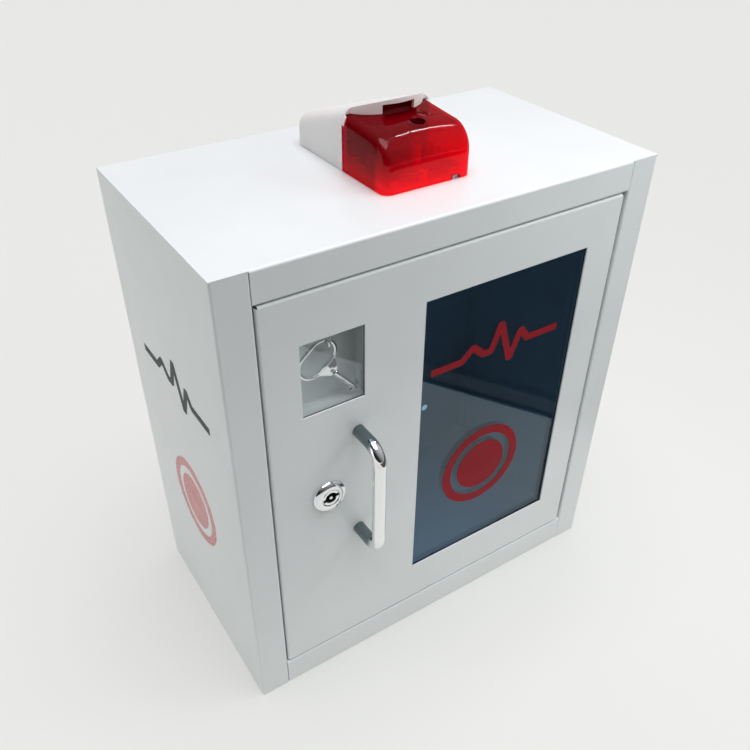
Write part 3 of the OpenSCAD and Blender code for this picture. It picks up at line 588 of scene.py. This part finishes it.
def softened(name, node, body, finish, width_mm):
    """A copy of a plain CAD node with its sharp edges rounded."""
    bm = node_mesh(node)
    bmesh.ops.dissolve_limit(bm, angle_limit=math.radians(2), verts=bm.verts[:], edges=bm.edges[:])
    edges = [e for e in bm.edges if len(e.link_faces) == 2
             and e.calc_face_angle() > math.radians(50)]
    bmesh.ops.bevel(bm, geom=edges, offset=width_mm * MM, segments=3, profile=0.5,
                    affect="EDGES", clamp_overlap=True)
    mesh = bpy.data.meshes.new(name)
    bm.to_mesh(mesh)
    bm.free()
    dressed(mesh, name, body, finish, [node], 40)


def arc(centre, radius, start, end, steps):
    """Points of an arc in a plane, angles in degrees."""
    return [(centre[0] + radius * math.cos(math.radians(start + (end - start) * k / steps)),
             centre[1] + radius * math.sin(math.radians(start + (end - start) * k / steps)))
            for k in range(steps + 1)]


# Camera, light and floor ------------------------

CAMERA_AT = (-0.3130, -0.4667, 0.6170)
CAMERA_TURN = (52.491, -0.319, -32.846)
CAMERA_LENS = 38.22
CAMERA_SHIFT = (0.0045, 0.0264)
BRIGHT_SIDE = (0.55, 0.05, 0.8)  # where the surroundings are lightest
AMBIENT = (0.02, 0.58)  # their strength away from that side and toward it


def make_camera():
    data = bpy.data.cameras.new("camera")
    data.lens = CAMERA_LENS
    data.sensor_width = 36
    data.shift_x, data.shift_y = CAMERA_SHIFT
    data.clip_start = 0.01
    camera = bpy.data.objects.new("camera", data)
    camera.location = CAMERA_AT
    camera.rotation_euler = [math.radians(a) for a in CAMERA_TURN]
    bpy.context.scene.collection.objects.link(camera)
    bpy.context.scene.camera = camera


def add_light(kind, name, at, toward, strength, colour):
    """A light of a kind, in its place and turned to shine along a direction."""
    data = bpy.data.lights.new(name, kind)
    data.energy = strength
    data.color = colour
    light = bpy.data.objects.new(name, data)
    light.location = at
    light.rotation_euler = Vector(toward).to_track_quat("-Z", "Y").to_euler()
    bpy.context.scene.collection.objects.link(light)
    return light


def area_light(name, at, target, size, power, colour):
    light = add_light("AREA", name, at, Vector(target) - Vector(at), power, colour)
    light.data.shape = "RECTANGLE"
    light.data.size, light.data.size_y = size
    return light


def make_world():
    """Surroundings that are dim low down and lighter overhead, with a pale backdrop to look at."""
    world = bpy.data.worlds.new("studio")
    world.use_nodes = True
    tree = world.node_tree
    ambient = tree.nodes["Background"]
    ambient.inputs["Color"].default_value = (0.95, 0.975, 1.0, 1)
    place = tree.nodes.new("ShaderNodeTexCoord")
    dot = tree.nodes.new("ShaderNodeVectorMath")
    dot.operation = "DOT_PRODUCT"
    dot.inputs[1].default_value = Vector(BRIGHT_SIDE).normalized()
    tree.links.new(place.outputs["Generated"], dot.inputs[0])
    tree.links.new(map_range(tree, dot.outputs["Value"], -0.1, 0.9, *AMBIENT),
                   ambient.inputs["Strength"])
    pale = tree.nodes.new("ShaderNodeBackground")
    pale.inputs["Color"].default_value = (0.84, 0.84, 0.81, 1)
    path = tree.nodes.new("ShaderNodeLightPath")
    seen = mix_shaders(tree, path.outputs["Is Camera Ray"], ambient.outputs["Background"],
                       pale.outputs["Background"])
    tree.links.new(seen, tree.nodes["World Output"].inputs["Surface"])
    bpy.context.scene.world = world


def card(name, points, material, only=None):
    """A flat piece of the studio, which all rays see or only one kind of them."""
    mesh = bpy.data.meshes.new(name)
    mesh.from_pydata(points, [], [tuple(range(len(points)))])
    mesh.materials.append(material)
    made = bpy.data.objects.new(name, mesh)
    bpy.context.scene.collection.objects.link(made)
    for kind in ("camera", "diffuse", "glossy", "transmission", "volume_scatter", "shadow"):
        setattr(made, f"visible_{kind}", only in (None, kind))


def make_floor():
    floor = new_material("pale_floor", (0.42, 0.435, 0.415), 0.7, Specular_IOR_Level=0.0,
                         Emission_Color=(1, 1, 0.965, 1), Emission_Strength=0.30)
    reach, z = 6, -0.0002
    card("floor", [(-reach, -reach, z), (reach, -reach, z), (reach, reach, z), (-reach, reach, z)],
         floor)


def make_room_cards():
    """Dark room beyond the edge of the pale floor, which only reflections show."""
    edge, out = Vector((0.195, -0.386)), Vector((0.854, -0.520)).normalized()
    run = Vector((0.088, 0.145)).normalized()
    bands = [(0.0, 0.012, 0.01), (0.012, 0.035, 0.10), (0.035, 0.055, 0.02), (0.055, 3.0, 0.035)]
    for i, (near, far, shade) in enumerate(bands):
        corners = [edge + out * d + run * s
                   for d, s in ((near, -2.0), (far, -2.0), (far, 2.0), (near, 2.0))]
        card(f"room_card_{i}", [(*corner, 0.001 + i * 1e-4) for corner in corners],
             new_material(f"room_{i}", (shade, shade, shade), 0.9), only="glossy")


def make_flag():
    """Black flag stood by the photographer, out of view: it takes light off the lower left."""
    left, right, foot, head = (-0.80, -0.34), (-0.02, -0.62), 0.01, 0.42
    card("flag", [(*left, foot), (*right, foot), (*right, head), (*left, head)],
         new_material("flag_black", (0.02, 0.02, 0.02), 0.9, Specular_IOR_Level=0.0),
         only="diffuse")


make_camera()
make_world()
make_floor()
make_room_cards()
make_flag()
overhead = add_light("SUN", "overhead", (0, 0, 0), (0.03, 0.10, -1), 2.65, (1.0, 0.95, 0.98))
overhead.data.angle = math.radians(50)
area_light("left_fill", (-2.2, 0.3, 0.5), (0, 0, 0.2), (1.2, 1.2), 5, (0.93, 0.98, 1.0))
near = area_light("right_front", (0.35, -0.35, 0.62), (0.1, -0.1, 0.3), (0.22, 0.22), 0.68,
                  (0.97, 0.99, 1.0))
near.visible_glossy = False
glint = area_light("glint", (0.85, 0.06, 1.66), (0.0, -0.04, 0.43), (0.05, 0.55), 6.0, (1, 1, 1))
glint.visible_diffuse = False
bpy.context.scene.view_settings.view_transform = "Standard"


# Case and door ------------------------

repaint("paint", "left_side_panel", "right_side_panel", "top_panel", "bottom_panel",
        "back_panel", "door_panel", "key_box")
repaint("zinc", "door_stops", "contact_bracket", "hinge_pins")
repaint("rubber", "contact_cable", "siren_cable", "cable_grommet")
repaint("foam", "window_seal", "key_seal")
repaint("nylon", "hinge_bushes")
repaint("pane", "window_pane")
repaint("clear", "key_pane")
repaint("window_print", "window_graphic")
repaint("side_grey", "left_side_pulse", "right_side_pulse")
repaint("side_red", "left_side_disc", "right_side_disc")
repaint("white", "siren_base")
repaint("nickel", "battery_contacts")
repaint("board", "siren_board")

# Siren ------------------------

LENS_LOW, LENS_HIGH = box_mm("siren_lens")
HOUSE_LOW, HOUSE_HIGH = box_mm("siren_housing")
ROOF = LENS_LOW.z
SIREN_X = (LENS_LOW.x + LENS_HIGH.x) / 2
SIREN_HALF = (LENS_HIGH.x - LENS_LOW.x) / 2
SEAM = LENS_HIGH.y
FRONT = LENS_LOW.y
REAR = HOUSE_HIGH.y
GAP = 0.4
LENS_TOP = 39.5
LENS_FALL = math.radians(4.9)
LENS_CROWN = 2.0
NOSE_R = 20.0
LENS_EDGE = 6.8
ROOF_EDGE = 9.0
ROOF_FALL = math.radians(18)
TONGUE_MID = HOUSE_LOW.y + SIREN_HALF
WALL = 2.0
SLOT_HALF = 13.0
SLOT_TOP = 46.3
LENS_SCREW = (5.95, 2.9, 1.6)  # width of its head, width of its shank, height of its head
EDGE_STEPS_LENS = 8
EDGE_STEPS_ROOF = 10


def strap_columns(flat, edge, edge_steps, stretches):
    """(x, depth) across a strap with rounded edges: depth is how far the edge has dropped."""
    drop = [(edge * math.cos(a), edge * (1 - math.sin(a))) for a in quarter(edge_steps)]
    columns = [(-flat - out, depth) for out, depth in drop[:-1]]
    for start, end, steps in stretches:
        columns += [(start + (end - start) * k / steps, 0.0) for k in range(steps)]
    return columns + [(flat + out, depth) for out, depth in reversed(drop)]


def cheek(edge, steps):
    """Flat side wall that hangs from an edge's points down to just above the roof."""
    return [[(x, y, z + (ROOF + GAP - z) * k / steps) for k in range(steps + 1)]
            for x, y, z in edge]


def lens_height(y):
    """Height of the lens's straight top above the roof."""
    return LENS_TOP - (SEAM - y) * math.tan(LENS_FALL)


def lens_profile():
    """Side view of the lens as (y, z, normal y, normal z), from the seam to its front foot."""
    middle = (FRONT + NOSE_R, lens_height(FRONT + NOSE_R) - NOSE_R)
    tilt = math.degrees(LENS_FALL)
    run = []
    steps = 26
    for k in range(steps):
        y = SEAM + (middle[0] - SEAM) * k / steps
        run.append((y, lens_height(y), -math.sin(LENS_FALL), math.cos(LENS_FALL)))
    for k in range(25):
        a = math.radians(90 + tilt + (90 - tilt) * k / 24)
        run.append((middle[0] + NOSE_R * math.cos(a), middle[1] + NOSE_R * math.sin(a),
                    math.cos(a), math.sin(a)))
    for k in range(1, 9):
        run.append((FRONT, middle[1] + (GAP - middle[1]) * k / 8, -1.0, 0.0))
    return run


def fan_depth(x, y):
    """Depth of the shallow horn in the lens's top, which opens out from the sound slot."""
    reach = 13.0
    from_slot = HOUSE_LOW.y - y
    if not -6 < from_slot < reach:
        return 0.0
    along_fan = max(0.0, from_slot) / reach
    half = SLOT_HALF + 9.0 * along_fan
    side = max(0.0, min(1.0, (half - abs(x)) / 2.5))
    front = max(0.0, min(1.0, (1 - along_fan) * 3.0))
    return 2.6 * side * side * (3 - 2 * side) * front * front * (3 - 2 * front)


def lens_skin():
    """Outer skin of the lens: a bent strap, its rounded edges and two flat cheeks."""
    flat = SIREN_HALF - LENS_EDGE
    columns = strap_columns(flat, LENS_EDGE, EDGE_STEPS_LENS, [(-flat, flat, 60)])
    rings = []
    profile = lens_profile()
    straight = sum(1 for y, z, ny, nz in profile if nz > 0 or y > FRONT + 1e-6)
    for y, z, ny, nz in profile:
        up = max(0.0, nz)
        ring = []
        for x, depth in columns:
            rise = -depth
            if abs(x) <= flat:
                rise += LENS_CROWN * up ** 2 * (1 - (x / flat) ** 2) - fan_depth(x, y) * up
            ring.append((SIREN_X + x, y + ny * rise, ROOF + max(z + nz * rise, GAP)))
        rings.append(ring)
    cheeks = [cheek([ring[end] for ring in rings[:straight]], 8) for end in (0, -1)]
    return [rings_to_mesh(skin, False, False) for skin in [rings, *cheeks]]


def siren_lens():
    """The red lens, with a deep hole for its screw and a small notch in its foot; the hole's recess
    wall and the notch's cut faces get painted shade.
    """
    made = piece("red_lens", lens_skin(), "case", "lens", ["siren_lens"])
    thicken(made, WALL)
    seat = centre_mm("lens_screw")
    head = box_mm("lens_screw")[1].z - LENS_SCREW[2]
    shank_r, head_r, recess_r, recess = 1.5, 3.2, 5.5, head + 7
    outer_r, boss_foot, shoulder, boss_top = 7.2, 4.7, head + 5, ROOF + 36.9
    boss = lathe([(0, head - 3), (boss_foot, head - 3), (boss_foot, shoulder), (outer_r, shoulder),
                  (outer_r, boss_top), (0, boss_top)], (seat.x, seat.y, 0))
    cut(made, [boss], join=True)
    hole = lathe([(0, head - 5), (shank_r, head - 5), (shank_r, head), (head_r, head),
                  (head_r, recess - 0.4), (head_r + 0.4, recess), (recess_r, recess),
                  (recess_r, head + 30), (0, head + 30)], (seat.x, seat.y, 0))
    notch_left, notch_right, notch_top = SIREN_X + 20, SIREN_X + 26, ROOF + 3.2
    notch = rounded_box((notch_left, FRONT - 1, ROOF - 1), (notch_right, FRONT + 4, notch_top), 0.6)
    cut(made, [hole, notch])
    weld(made, 0.01, lambda p: math.hypot(p.x - seat.x, p.y - seat.y) < shank_r + 0.5)

    def in_recess(c):
        return c.z > recess + 0.02 and abs(math.hypot(c.x - seat.x, c.y - seat.y) - 5.38) < 0.18

    def in_notch(c):
        return (notch_left - 0.1 < c.x < notch_right + 0.1 and c.z < notch_top + 0.1
                and FRONT + 0.05 < c.y < FRONT + WALL - 0.05)

    # Painted shade: the recess wall and the notch's cut faces go near-black red.
    repaint_faces(made, "deep_red", lambda c: in_recess(c) or in_notch(c))
    sharpen(made, 32)


def front_of_roof(x):
    """Front edge of the housing's roof at a distance from its middle."""
    if abs(x) >= SIREN_HALF:
        return SEAM
    return min(SEAM, TONGUE_MID - math.sqrt(SIREN_HALF ** 2 - x * x))


def housing_skin():
    """Roof with rounded edges, side walls and rear wall of the siren's white cover."""
    flat = SIREN_HALF - ROOF_EDGE
    top = HOUSE_HIGH.z - ROOF - 0.4
    rear_r = 12.0
    length_steps = 40

    def roof(y):
        return top - (y - HOUSE_LOW.y) * math.tan(ROOF_FALL)

    rear_mid = REAR - rear_r
    meet = 90 - math.degrees(ROOF_FALL)
    start_y = rear_mid + rear_r * math.cos(math.radians(meet))
    start_z = roof(start_y)
    lift = start_z - rear_r * math.sin(math.radians(meet))

    def profile(front):
        """(y, z, normal y, normal z) from the roof's front edge to the rear foot."""
        run = []
        for k in range(length_steps):
            y = front + (start_y - front) * k / length_steps
            run.append((y, roof(y), math.sin(ROOF_FALL), math.cos(ROOF_FALL)))
        for k in range(13):
            a = math.radians(meet * (1 - k / 12))
            run.append((rear_mid + rear_r * math.cos(a), lift + rear_r * math.sin(a),
                        math.cos(a), math.sin(a)))
        run += [(REAR, lift + (GAP - lift) * k / 6, 1.0, 0.0) for k in range(1, 7)]
        return run

    columns = strap_columns(flat, ROOF_EDGE, EDGE_STEPS_ROOF,
                            [(-flat, -SLOT_HALF, 14), (-SLOT_HALF, SLOT_HALF, 24),
                             (SLOT_HALF, flat, 14)])
    rings = []
    for x, depth in columns:
        crown = 0.4 * (1 - (x / flat) ** 2) if abs(x) <= flat else 0.0
        rings.append([(SIREN_X + x, y - ny * depth, ROOF + max(GAP, z - nz * depth + crown))
                      for y, z, ny, nz in profile(front_of_roof(x))])
    cheeks = [cheek(rings[side][:length_steps + 13], 6) for side in (0, -1)]
    skirts = {"left": [], "lip": [], "right": []}
    for ring, (x, depth) in zip(rings, columns):
        px, py, pz = ring[0]
        bulge = LENS_CROWN * max(0.0, 1 - (x / (SIREN_HALF - LENS_EDGE)) ** 2)
        foot = ROOF + lens_height(py) + 0.25 + bulge
        if abs(x) > SIREN_HALF - 0.5 or pz < foot:
            continue
        level = min(ROOF + SLOT_TOP, pz - 0.3 * (pz - foot))
        lip = [(px, py, pz + (level - pz) * k / 3) for k in range(4)]
        wall = lip + [(px, py, level + (foot - level) * k / 6) for k in range(1, 7)]
        if x < -SLOT_HALF + 1e-6:
            skirts["left"].append(wall)
        if abs(x) < SLOT_HALF + 1e-6:
            skirts["lip"].append(lip)
        if x > SLOT_HALF - 1e-6:
            skirts["right"].append(wall)
    skins = [rings, *cheeks, *skirts.values()]
    return [rings_to_mesh(skin, False, False) for skin in skins]


def siren_housing():
    """The siren's white rear cover, with its sound slot under the roof's front edge."""
    made = piece("siren_cover", housing_skin(), "case", "white", ["siren_housing"])
    thicken(made, WALL)
    sharpen(made, 32)


siren_lens()
siren_housing()

# Fasteners ------------------------


def bars(node, axis):
    """Each body of a node as a bar along an axis: its middle line, both its ends and its width."""
    run = max(range(3), key=lambda i: abs(axis[i]))
    for low, high in islands(node):
        middle = (low + high) / 2
        middle[run] = 0
        start, end = sorted((low[run] * axis[run], high[run] * axis[run]))
        yield middle, start, end, min(high[i] - low[i] for i in range(3) if i != run)


def studs(name, node, body, axis, pitch):
    """Threaded studs or rods where a CAD node has its plain ones."""
    parts = [threaded(middle, axis, width * 0.995, start, end, pitch)
             for middle, start, end, width in bars(node, axis)]
    piece(name, parts, body, "zinc", [node], 25)


def nuts(name, node, body, axis, bore):
    """Hexagon nuts where a CAD node has its plain ones."""
    parts = [hexagon_nut(middle + Vector(axis) * start, axis, width * 0.995, end - start, bore)
             for middle, start, end, width in bars(node, axis)]
    piece(name, parts, body, "zinc", [node], 25)


studs("window_stud", "window_studs", "door", (0, 1, 0), 0.7)
nuts("window_nut", "window_nuts", "door", (0, 1, 0), 3.9)
studs("key_box_stud", "key_box_studs", "door", (0, 1, 0), 0.5)
nuts("key_box_nut", "key_box_nuts", "door", (0, 1, 0), 2.9)
studs("battery_stud", "battery_studs", "case", (0, 0, -1), 0.7)
nuts("battery_nut", "battery_nuts", "case", (0, 0, 1), 3.9)
nuts("lock_ring_nut", "lock_nut", "door", (0, 1, 0), 18.9)
nuts("cam_fixing_nut", "cam_nut", "lock_plug", (0, 1, 0), 5.8)


def screws(name, node, body, axis, head, shank, head_height):
    """Pan head screws where a CAD node has its plain ones; the axis points out of the heads."""
    parts, slots = [], []
    for middle, start, end, width in bars(node, axis):
        seat = middle + Vector(axis) * (end - head_height)
        parts.append(pan_head(seat, axis, head, head_height, shank, end - start - head_height))
        slots += cross_slots(seat, axis, head, head_height)
    made = piece(name, parts, body, "zinc", [node], 30)
    cut(made, slots)
    sharpen(made, 30)


screws("handle_screw", "handle_screws", "door", (0, 1, 0), 8.95, 4.9, 3.0)
screws("siren_screw", "siren_screws", "case", (0, 0, 1), 7.95, 3.9, 2.6)
screws("lens_fixing_screw", "lens_screw", "case", (0, 0, 1), *LENS_SCREW)

# Handle, lock and key ------------------------


def door_handle():
    """Bar handle: one round bar with two bends."""
    low, high = box_mm("door_handle")
    radius = (high.x - low.x) / 2 * 0.998
    x = (low.x + high.x) / 2
    grip_y = low.y + radius
    bend = 13.0
    foot_z, head_z = low.z + radius, high.z - radius
    path = [(x, high.y, foot_z), (x, high.y - 5, foot_z)]
    path += [(x, y, z) for y, z in arc((grip_y + bend, foot_z + bend), bend, 270, 180, 18)]
    path += [(x, y, z) for y, z in arc((grip_y + bend, head_z - bend), bend, 180, 90, 18)]
    path += [(x, high.y - 5, head_z), (x, high.y, head_z)]
    piece("pull_handle", [tube(path, radius, 48)], "door", "handle", ["door_handle"], 60)


LOCK_LOW, LOCK_HIGH = box_mm("lock_body")
LOCK_MID = (LOCK_LOW + LOCK_HIGH) / 2
LOCK_AXIS = (LOCK_MID.x, 0, LOCK_MID.z)
LOCK_FLANGE = 4.0  # how far the bezel stands out of the door
BEZEL_R = 9.4  # inner edge of its rounded rim
PLUG_LOW, PLUG_HIGH = box_mm("lock_cylinder")
PLUG_R = (PLUG_HIGH.x - PLUG_LOW.x) / 2
KEY_SLOT_TURN = 12  # degrees, as the lock was left
KEY_SLOT_DEPTH = 10.0
PIN_R, SLOT_R = 1.4, 4.6  # of the tubular key's ring-shaped slot


def lock_body():
    """Lock shell: a bezel with a rounded rim, and a threaded barrel behind the door."""
    face, back, r = LOCK_LOW.y, LOCK_HIGH.y, (LOCK_HIGH.x - LOCK_LOW.x) / 2
    door_face = face + LOCK_FLANGE
    bore = PLUG_R + 0.2
    crest, root, rim = 9.5, 9.25, 3.2
    bezel = [(bore, back), (bore, face + 0.4), (bore + 0.4, face), (BEZEL_R, face)]
    bezel += [(BEZEL_R + (r - BEZEL_R) * math.sin(a), face + rim - rim * math.cos(a))
              for a in quarter(14, 1)]
    bezel += [(r, door_face - 0.3), (r - 0.3, door_face)]
    barrel = [(crest, door_face)]
    y = door_face
    while y + 1.0 < back:
        barrel += [(root, y + 0.5), (crest, y + 1.0)]
        y += 1.0
    barrel += [(root, back), (bore, back)]
    piece("lock_shell", [lathe(bezel + barrel, LOCK_AXIS, (0, 1, 0), 96)], "door", "chrome",
          ["lock_body"], 30)


def lock_plug():
    """Lock plug with its ring-shaped key slot and two wings, and the square shank behind it; the
    inside of the slot is painted dark as shade.
    """
    face, back = PLUG_LOW.y, PLUG_HIGH.y
    cam, cam_back = (corner.y for corner in box_mm("lock_cam"))
    slot_floor = face + KEY_SLOT_DEPTH
    profile = [(0, face), (PIN_R - 0.25, face), (PIN_R, face + 0.25), (PIN_R, slot_floor),
               (SLOT_R, slot_floor), (SLOT_R, face + 0.25), (SLOT_R + 0.25, face),
               (PLUG_R - 0.4, face), (PLUG_R, face + 0.4), (PLUG_R, cam), (0, cam)]
    made = piece("lock_barrel", [lathe(profile, LOCK_AXIS, (0, 1, 0), 96)], "lock_plug", "chrome",
                 ["lock_cylinder"], 30)
    turn = Matrix.Rotation(math.radians(-KEY_SLOT_TURN), 3, "Y")
    wings = []
    for side in (-1, 1):
        left, right = sorted((side * 3.2, side * (PLUG_R - 0.5)))
        points, faces = rounded_box((left, face - 1, -1.5), (right, face + 7, 1.5), 0.2, 2)
        wings.append(([Vector(LOCK_AXIS) + turn @ p for p in points], faces))
    cut(made, wings)
    # Painted shade: the walls and floor inside the key slot go near-black.
    repaint_faces(made, "keyway_painted_shade", lambda c: face + 0.6 < c.y < slot_floor + 0.1
                  and math.hypot(c.x - LOCK_MID.x, c.z - LOCK_MID.z) < PLUG_R - 0.2)
    sharpen(made, 30)
    rod = threaded(LOCK_AXIS, (0, 1, 0), 5.96, cam_back, back, 1.0)
    shank = rounded_box((LOCK_MID.x - 4, cam, LOCK_MID.z - 4),
                        (LOCK_MID.x + 4, cam_back, LOCK_MID.z + 4), 0.3)
    piece("lock_shank", [shank, rod], "lock_plug", "chrome", (), 30)


KEY_MID = (-109.6, 317.4)  # middle of the bow, in x and z
KEY_HANG = 49  # degrees that the shaft hangs below level
BOW_OUTER, BOW_INNER, BOW_HALF = 11.5, 8.7, 5.2
KEY_THICK = 2.0
NECK, SHAFT_R, SHAFT_LENGTH = 19.5, 2.3, 25.5  # the neck is where the shaft starts


def key_bow(placed):
    """Oval loop of the key, of a rounded section."""
    middle, band = (BOW_OUTER + BOW_INNER) / 2, (BOW_OUTER - BOW_INNER) / 2
    loop = [(x, z) for z, x in arc((BOW_HALF, 0), middle, -90, 90, 32)]
    loop += [(x, z) for z, x in arc((-BOW_HALF, 0), middle, 90, 270, 32)]
    rings = []
    for i, (x, z) in enumerate(loop):
        before, after = loop[i - 1], loop[(i + 1) % len(loop)]
        tangent = Vector((after[0] - before[0], 0, after[1] - before[1])).normalized()
        side = Vector((tangent.z, 0, -tangent.x))
        ring = []
        for k in range(20):
            c, d = (math.copysign(abs(f(math.tau * k / 20)) ** 0.7, f(math.tau * k / 20))
                    for f in (math.cos, math.sin))
            ring.append(Vector((x, 0, z)) + side * band * c + Vector((0, KEY_THICK / 2 * d, 0)))
        rings.append(ring)
    piece("key_bow", [placed(rings_to_mesh([*rings, rings[0]], caps=False))], "key", "chrome",
          ["spare_key"], 50)


def key_shoulder(placed):
    """Tapered plate between the bow and the shaft, with a small hole."""
    flat = KEY_THICK / 2 * 0.98
    outline = [(8.2, -7.9), (11.7, -7.9), (NECK, -3.3), (NECK, 3.3), (11.7, 7.9), (8.2, 7.9)]
    bm = bmesh.new()
    low_face = bm.faces.new([bm.verts.new((x, -flat, z)) for x, z in outline])
    grown = bmesh.ops.extrude_face_region(bm, geom=[low_face])["geom"]
    bmesh.ops.translate(bm, verts=[v for v in grown if isinstance(v, bmesh.types.BMVert)],
                        vec=(0, 2 * flat, 0))
    bmesh.ops.bevel(bm, geom=bm.edges[:], offset=0.35, segments=3, profile=0.5, affect="EDGES")
    made = piece("key_shoulder", [placed(bmesh_parts(bm))], "key", "chrome", (), 40)
    hole_r, reach = 1.4, 3
    cut(made, [placed(lathe([(0, -reach), (hole_r, -reach), (hole_r, reach), (0, reach)],
                            (NECK - 3, 0, 0), (0, 1, 0), 32))])
    sharpen(made, 40)


def key_shaft(placed):
    """Round shaft with its bit near the end."""
    end = NECK + SHAFT_LENGTH
    shaft = lathe([(0, NECK - 0.5), (SHAFT_R - 0.3, NECK - 0.5), (SHAFT_R, NECK - 0.2),
                   (SHAFT_R, end - 0.5), (SHAFT_R - 0.5, end), (0, end)],
                  (0, 0, 0), (1, 0, 0), 40)
    bit = rounded_box((end - 4.5, -0.9, -4.5), (end - 0.5, 0.9, 4.5), 0.25)
    piece("key_shaft", [placed(shaft), placed(bit)], "key", "chrome", (), 35)


def spare_key():
    """The key, drawn along +X from the middle of its bow and then hung on its peg."""
    origin = Vector((KEY_MID[0], centre_mm("spare_key").y, KEY_MID[1]))
    turn = Matrix.Rotation(math.radians(KEY_HANG), 3, "Y")

    def placed(part):
        points, faces = part
        return [origin + turn @ Vector(p) for p in points], faces

    key_bow(placed)
    key_shoulder(placed)
    key_shaft(placed)


def key_peg():
    """Peg with an upturned, tapered tip."""
    low, high = box_mm("key_peg")
    r = (high.x - low.x) / 2 * 0.99
    x = (low.x + high.x) / 2
    z = low.z + r
    tip_y, bend = low.y + r, 1.6
    path = [(x, high.y, z), (x, tip_y + bend, z)]
    path += [(x, tip_y + bend - bend * math.sin(a), z + bend - bend * math.cos(a))
             for a in quarter(8, 1)]
    path += [(x, tip_y, high.z - 0.5), (x, tip_y, high.z)]
    radii = [r] * (len(path) - 1) + [r * 0.6]
    piece("key_hook", [tube(path, radii, 24)], "door", "chrome", ["key_peg"], 60)


door_handle()
lock_body()
lock_plug()
spare_key()
key_peg()
softened("cam_bar", "lock_cam", "lock_plug", "zinc", 0.3)

# Siren's inside, battery box and door contact ------------------------


def strobe_leds():
    """Round LEDs: a flanged foot, a body and a domed end."""
    lamps = []
    for low, high in islands("strobe_leds"):
        mid = (low + high) / 2
        rim, body, foot = (high.x - low.x) / 2 * 0.99, 2.5, low.z
        top = high.z - body
        profile = [(0, foot), (rim, foot), (rim, foot + 1), (body, foot + 1.05), (body, top)]
        profile += [(body * math.cos(a), top + body * math.sin(a) * 0.99) for a in quarter(8, 1)]
        lamps.append(lathe(profile, (mid.x, mid.y, 0), (0, 0, 1), 28))
    piece("strobe_lamps", lamps, "case", "led", ["strobe_leds"], 40)


def sounder():
    """Round sounder with a short throat."""
    low, high = box_mm("siren_sounder")
    mid = (low + high) / 2
    r = (high.x - low.x) / 2 * 0.998
    foot = low.z
    profile = [(0, foot), (r - 0.6, foot), (r, foot + 0.6), (r, foot + 11.2), (r - 0.8, foot + 12),
               (18, foot + 12), (17.6, foot + 12.3), (10.4, high.z - 0.4), (10, high.z),
               (8.6, high.z), (7.6, high.z - 3.5), (1.2, high.z - 4.5), (0, high.z - 4.4)]
    piece("sounder_body", [lathe(profile, (mid.x, mid.y, 0), (0, 0, 1), 72)], "case", "black",
          ["siren_sounder"], 30)


BAND_START, BAND_END = 12.3, 2.3  # of a cell's bright band, from its cap end


def cells():
    """Dry cells laid head to tail: dark wrap, a bright band by the cap, and bare metal ends."""
    parts, laid = [], []
    for index, (low, high) in enumerate(islands("batteries")):
        mid = (low + high) / 2
        r = (high.x - low.x) / 2 * 0.995
        length = high.y - low.y
        column, row = divmod(index, 2)
        forward = (column + row) % 2 == 0
        axis = Vector((0, 1 if forward else -1, 0))
        at = Vector((mid.x, low.y if forward else high.y, mid.z))
        profile = [(0, 0), (r - 2.2, 0), (r - 2.0, 0.25), (r - 0.8, 0.25), (r, 1.0),
                   (r, length - BAND_START - 0.1), (r, length - BAND_START), (r, length - BAND_END),
                   (r - 0.9, length - 1.4), (2.9, length - 1.4), (2.75, length - 0.2),
                   (2.5, length), (0, length)]
        parts.append(lathe(profile, at, axis, 40))
        laid.append((at, axis))
    made = piece("dry_cells", parts, "case", "wrap", ["batteries"], 40)

    def place_of(c):
        """How far a point is along its cell, and how far from that cell's middle line."""
        at, axis = min(laid, key=lambda cell: math.hypot(c.x - cell[0].x, c.z - cell[0].z))
        return (c - at).dot(axis), math.hypot(c.x - at.x, c.z - at.z)

    def is_band(c):
        run, radius = place_of(c)
        return length - BAND_START < run < length - BAND_END + 0.1 and radius > r - 0.6

    def is_end(c):
        run, radius = place_of(c)
        return run < 0.2 or run > length - 1.5 and radius < r - 1.2

    repaint_faces(made, "copper", is_band)
    repaint_faces(made, "nickel", is_end)


def bumpers():
    """Domed rubber buttons on the door stops."""
    parts = []
    for low, high in islands("stop_bumpers"):
        mid = (low + high) / 2
        r = (high.x - low.x) / 2 * 0.99
        height = high.y - low.y
        profile = [(0, 0), (r, 0), (r, height * 0.35)]
        profile += [(r * math.cos(a), height * (0.35 + 0.65 * math.sin(a))) for a in quarter(8, 1)]
        parts.append(lathe(profile, (mid.x, high.y, mid.z), (0, -1, 0), 40))
    piece("rubber_bumpers", parts, "case", "rubber", ["stop_bumpers"], 40)


strobe_leds()
sounder()
cells()
bumpers()
for row in (("contact_magnet_case", "contact_magnet", "door", "white", 0.6),
            ("contact_switch_case", "contact_switch", "case", "white", 0.6),
            ("battery_tray", "battery_box", "case", "white", 0.35),
            ("battery_cover", "battery_lid", "case", "white", 0.35),
            ("alarm_switch_shell", "alarm_switch_body", "case", "black", 0.35),
            ("rocker_key", "alarm_rocker", "rocker", "red", 0.5),
            ("window_clip", "window_clips", "door", "zinc", 0.25)):
    softened(*row)
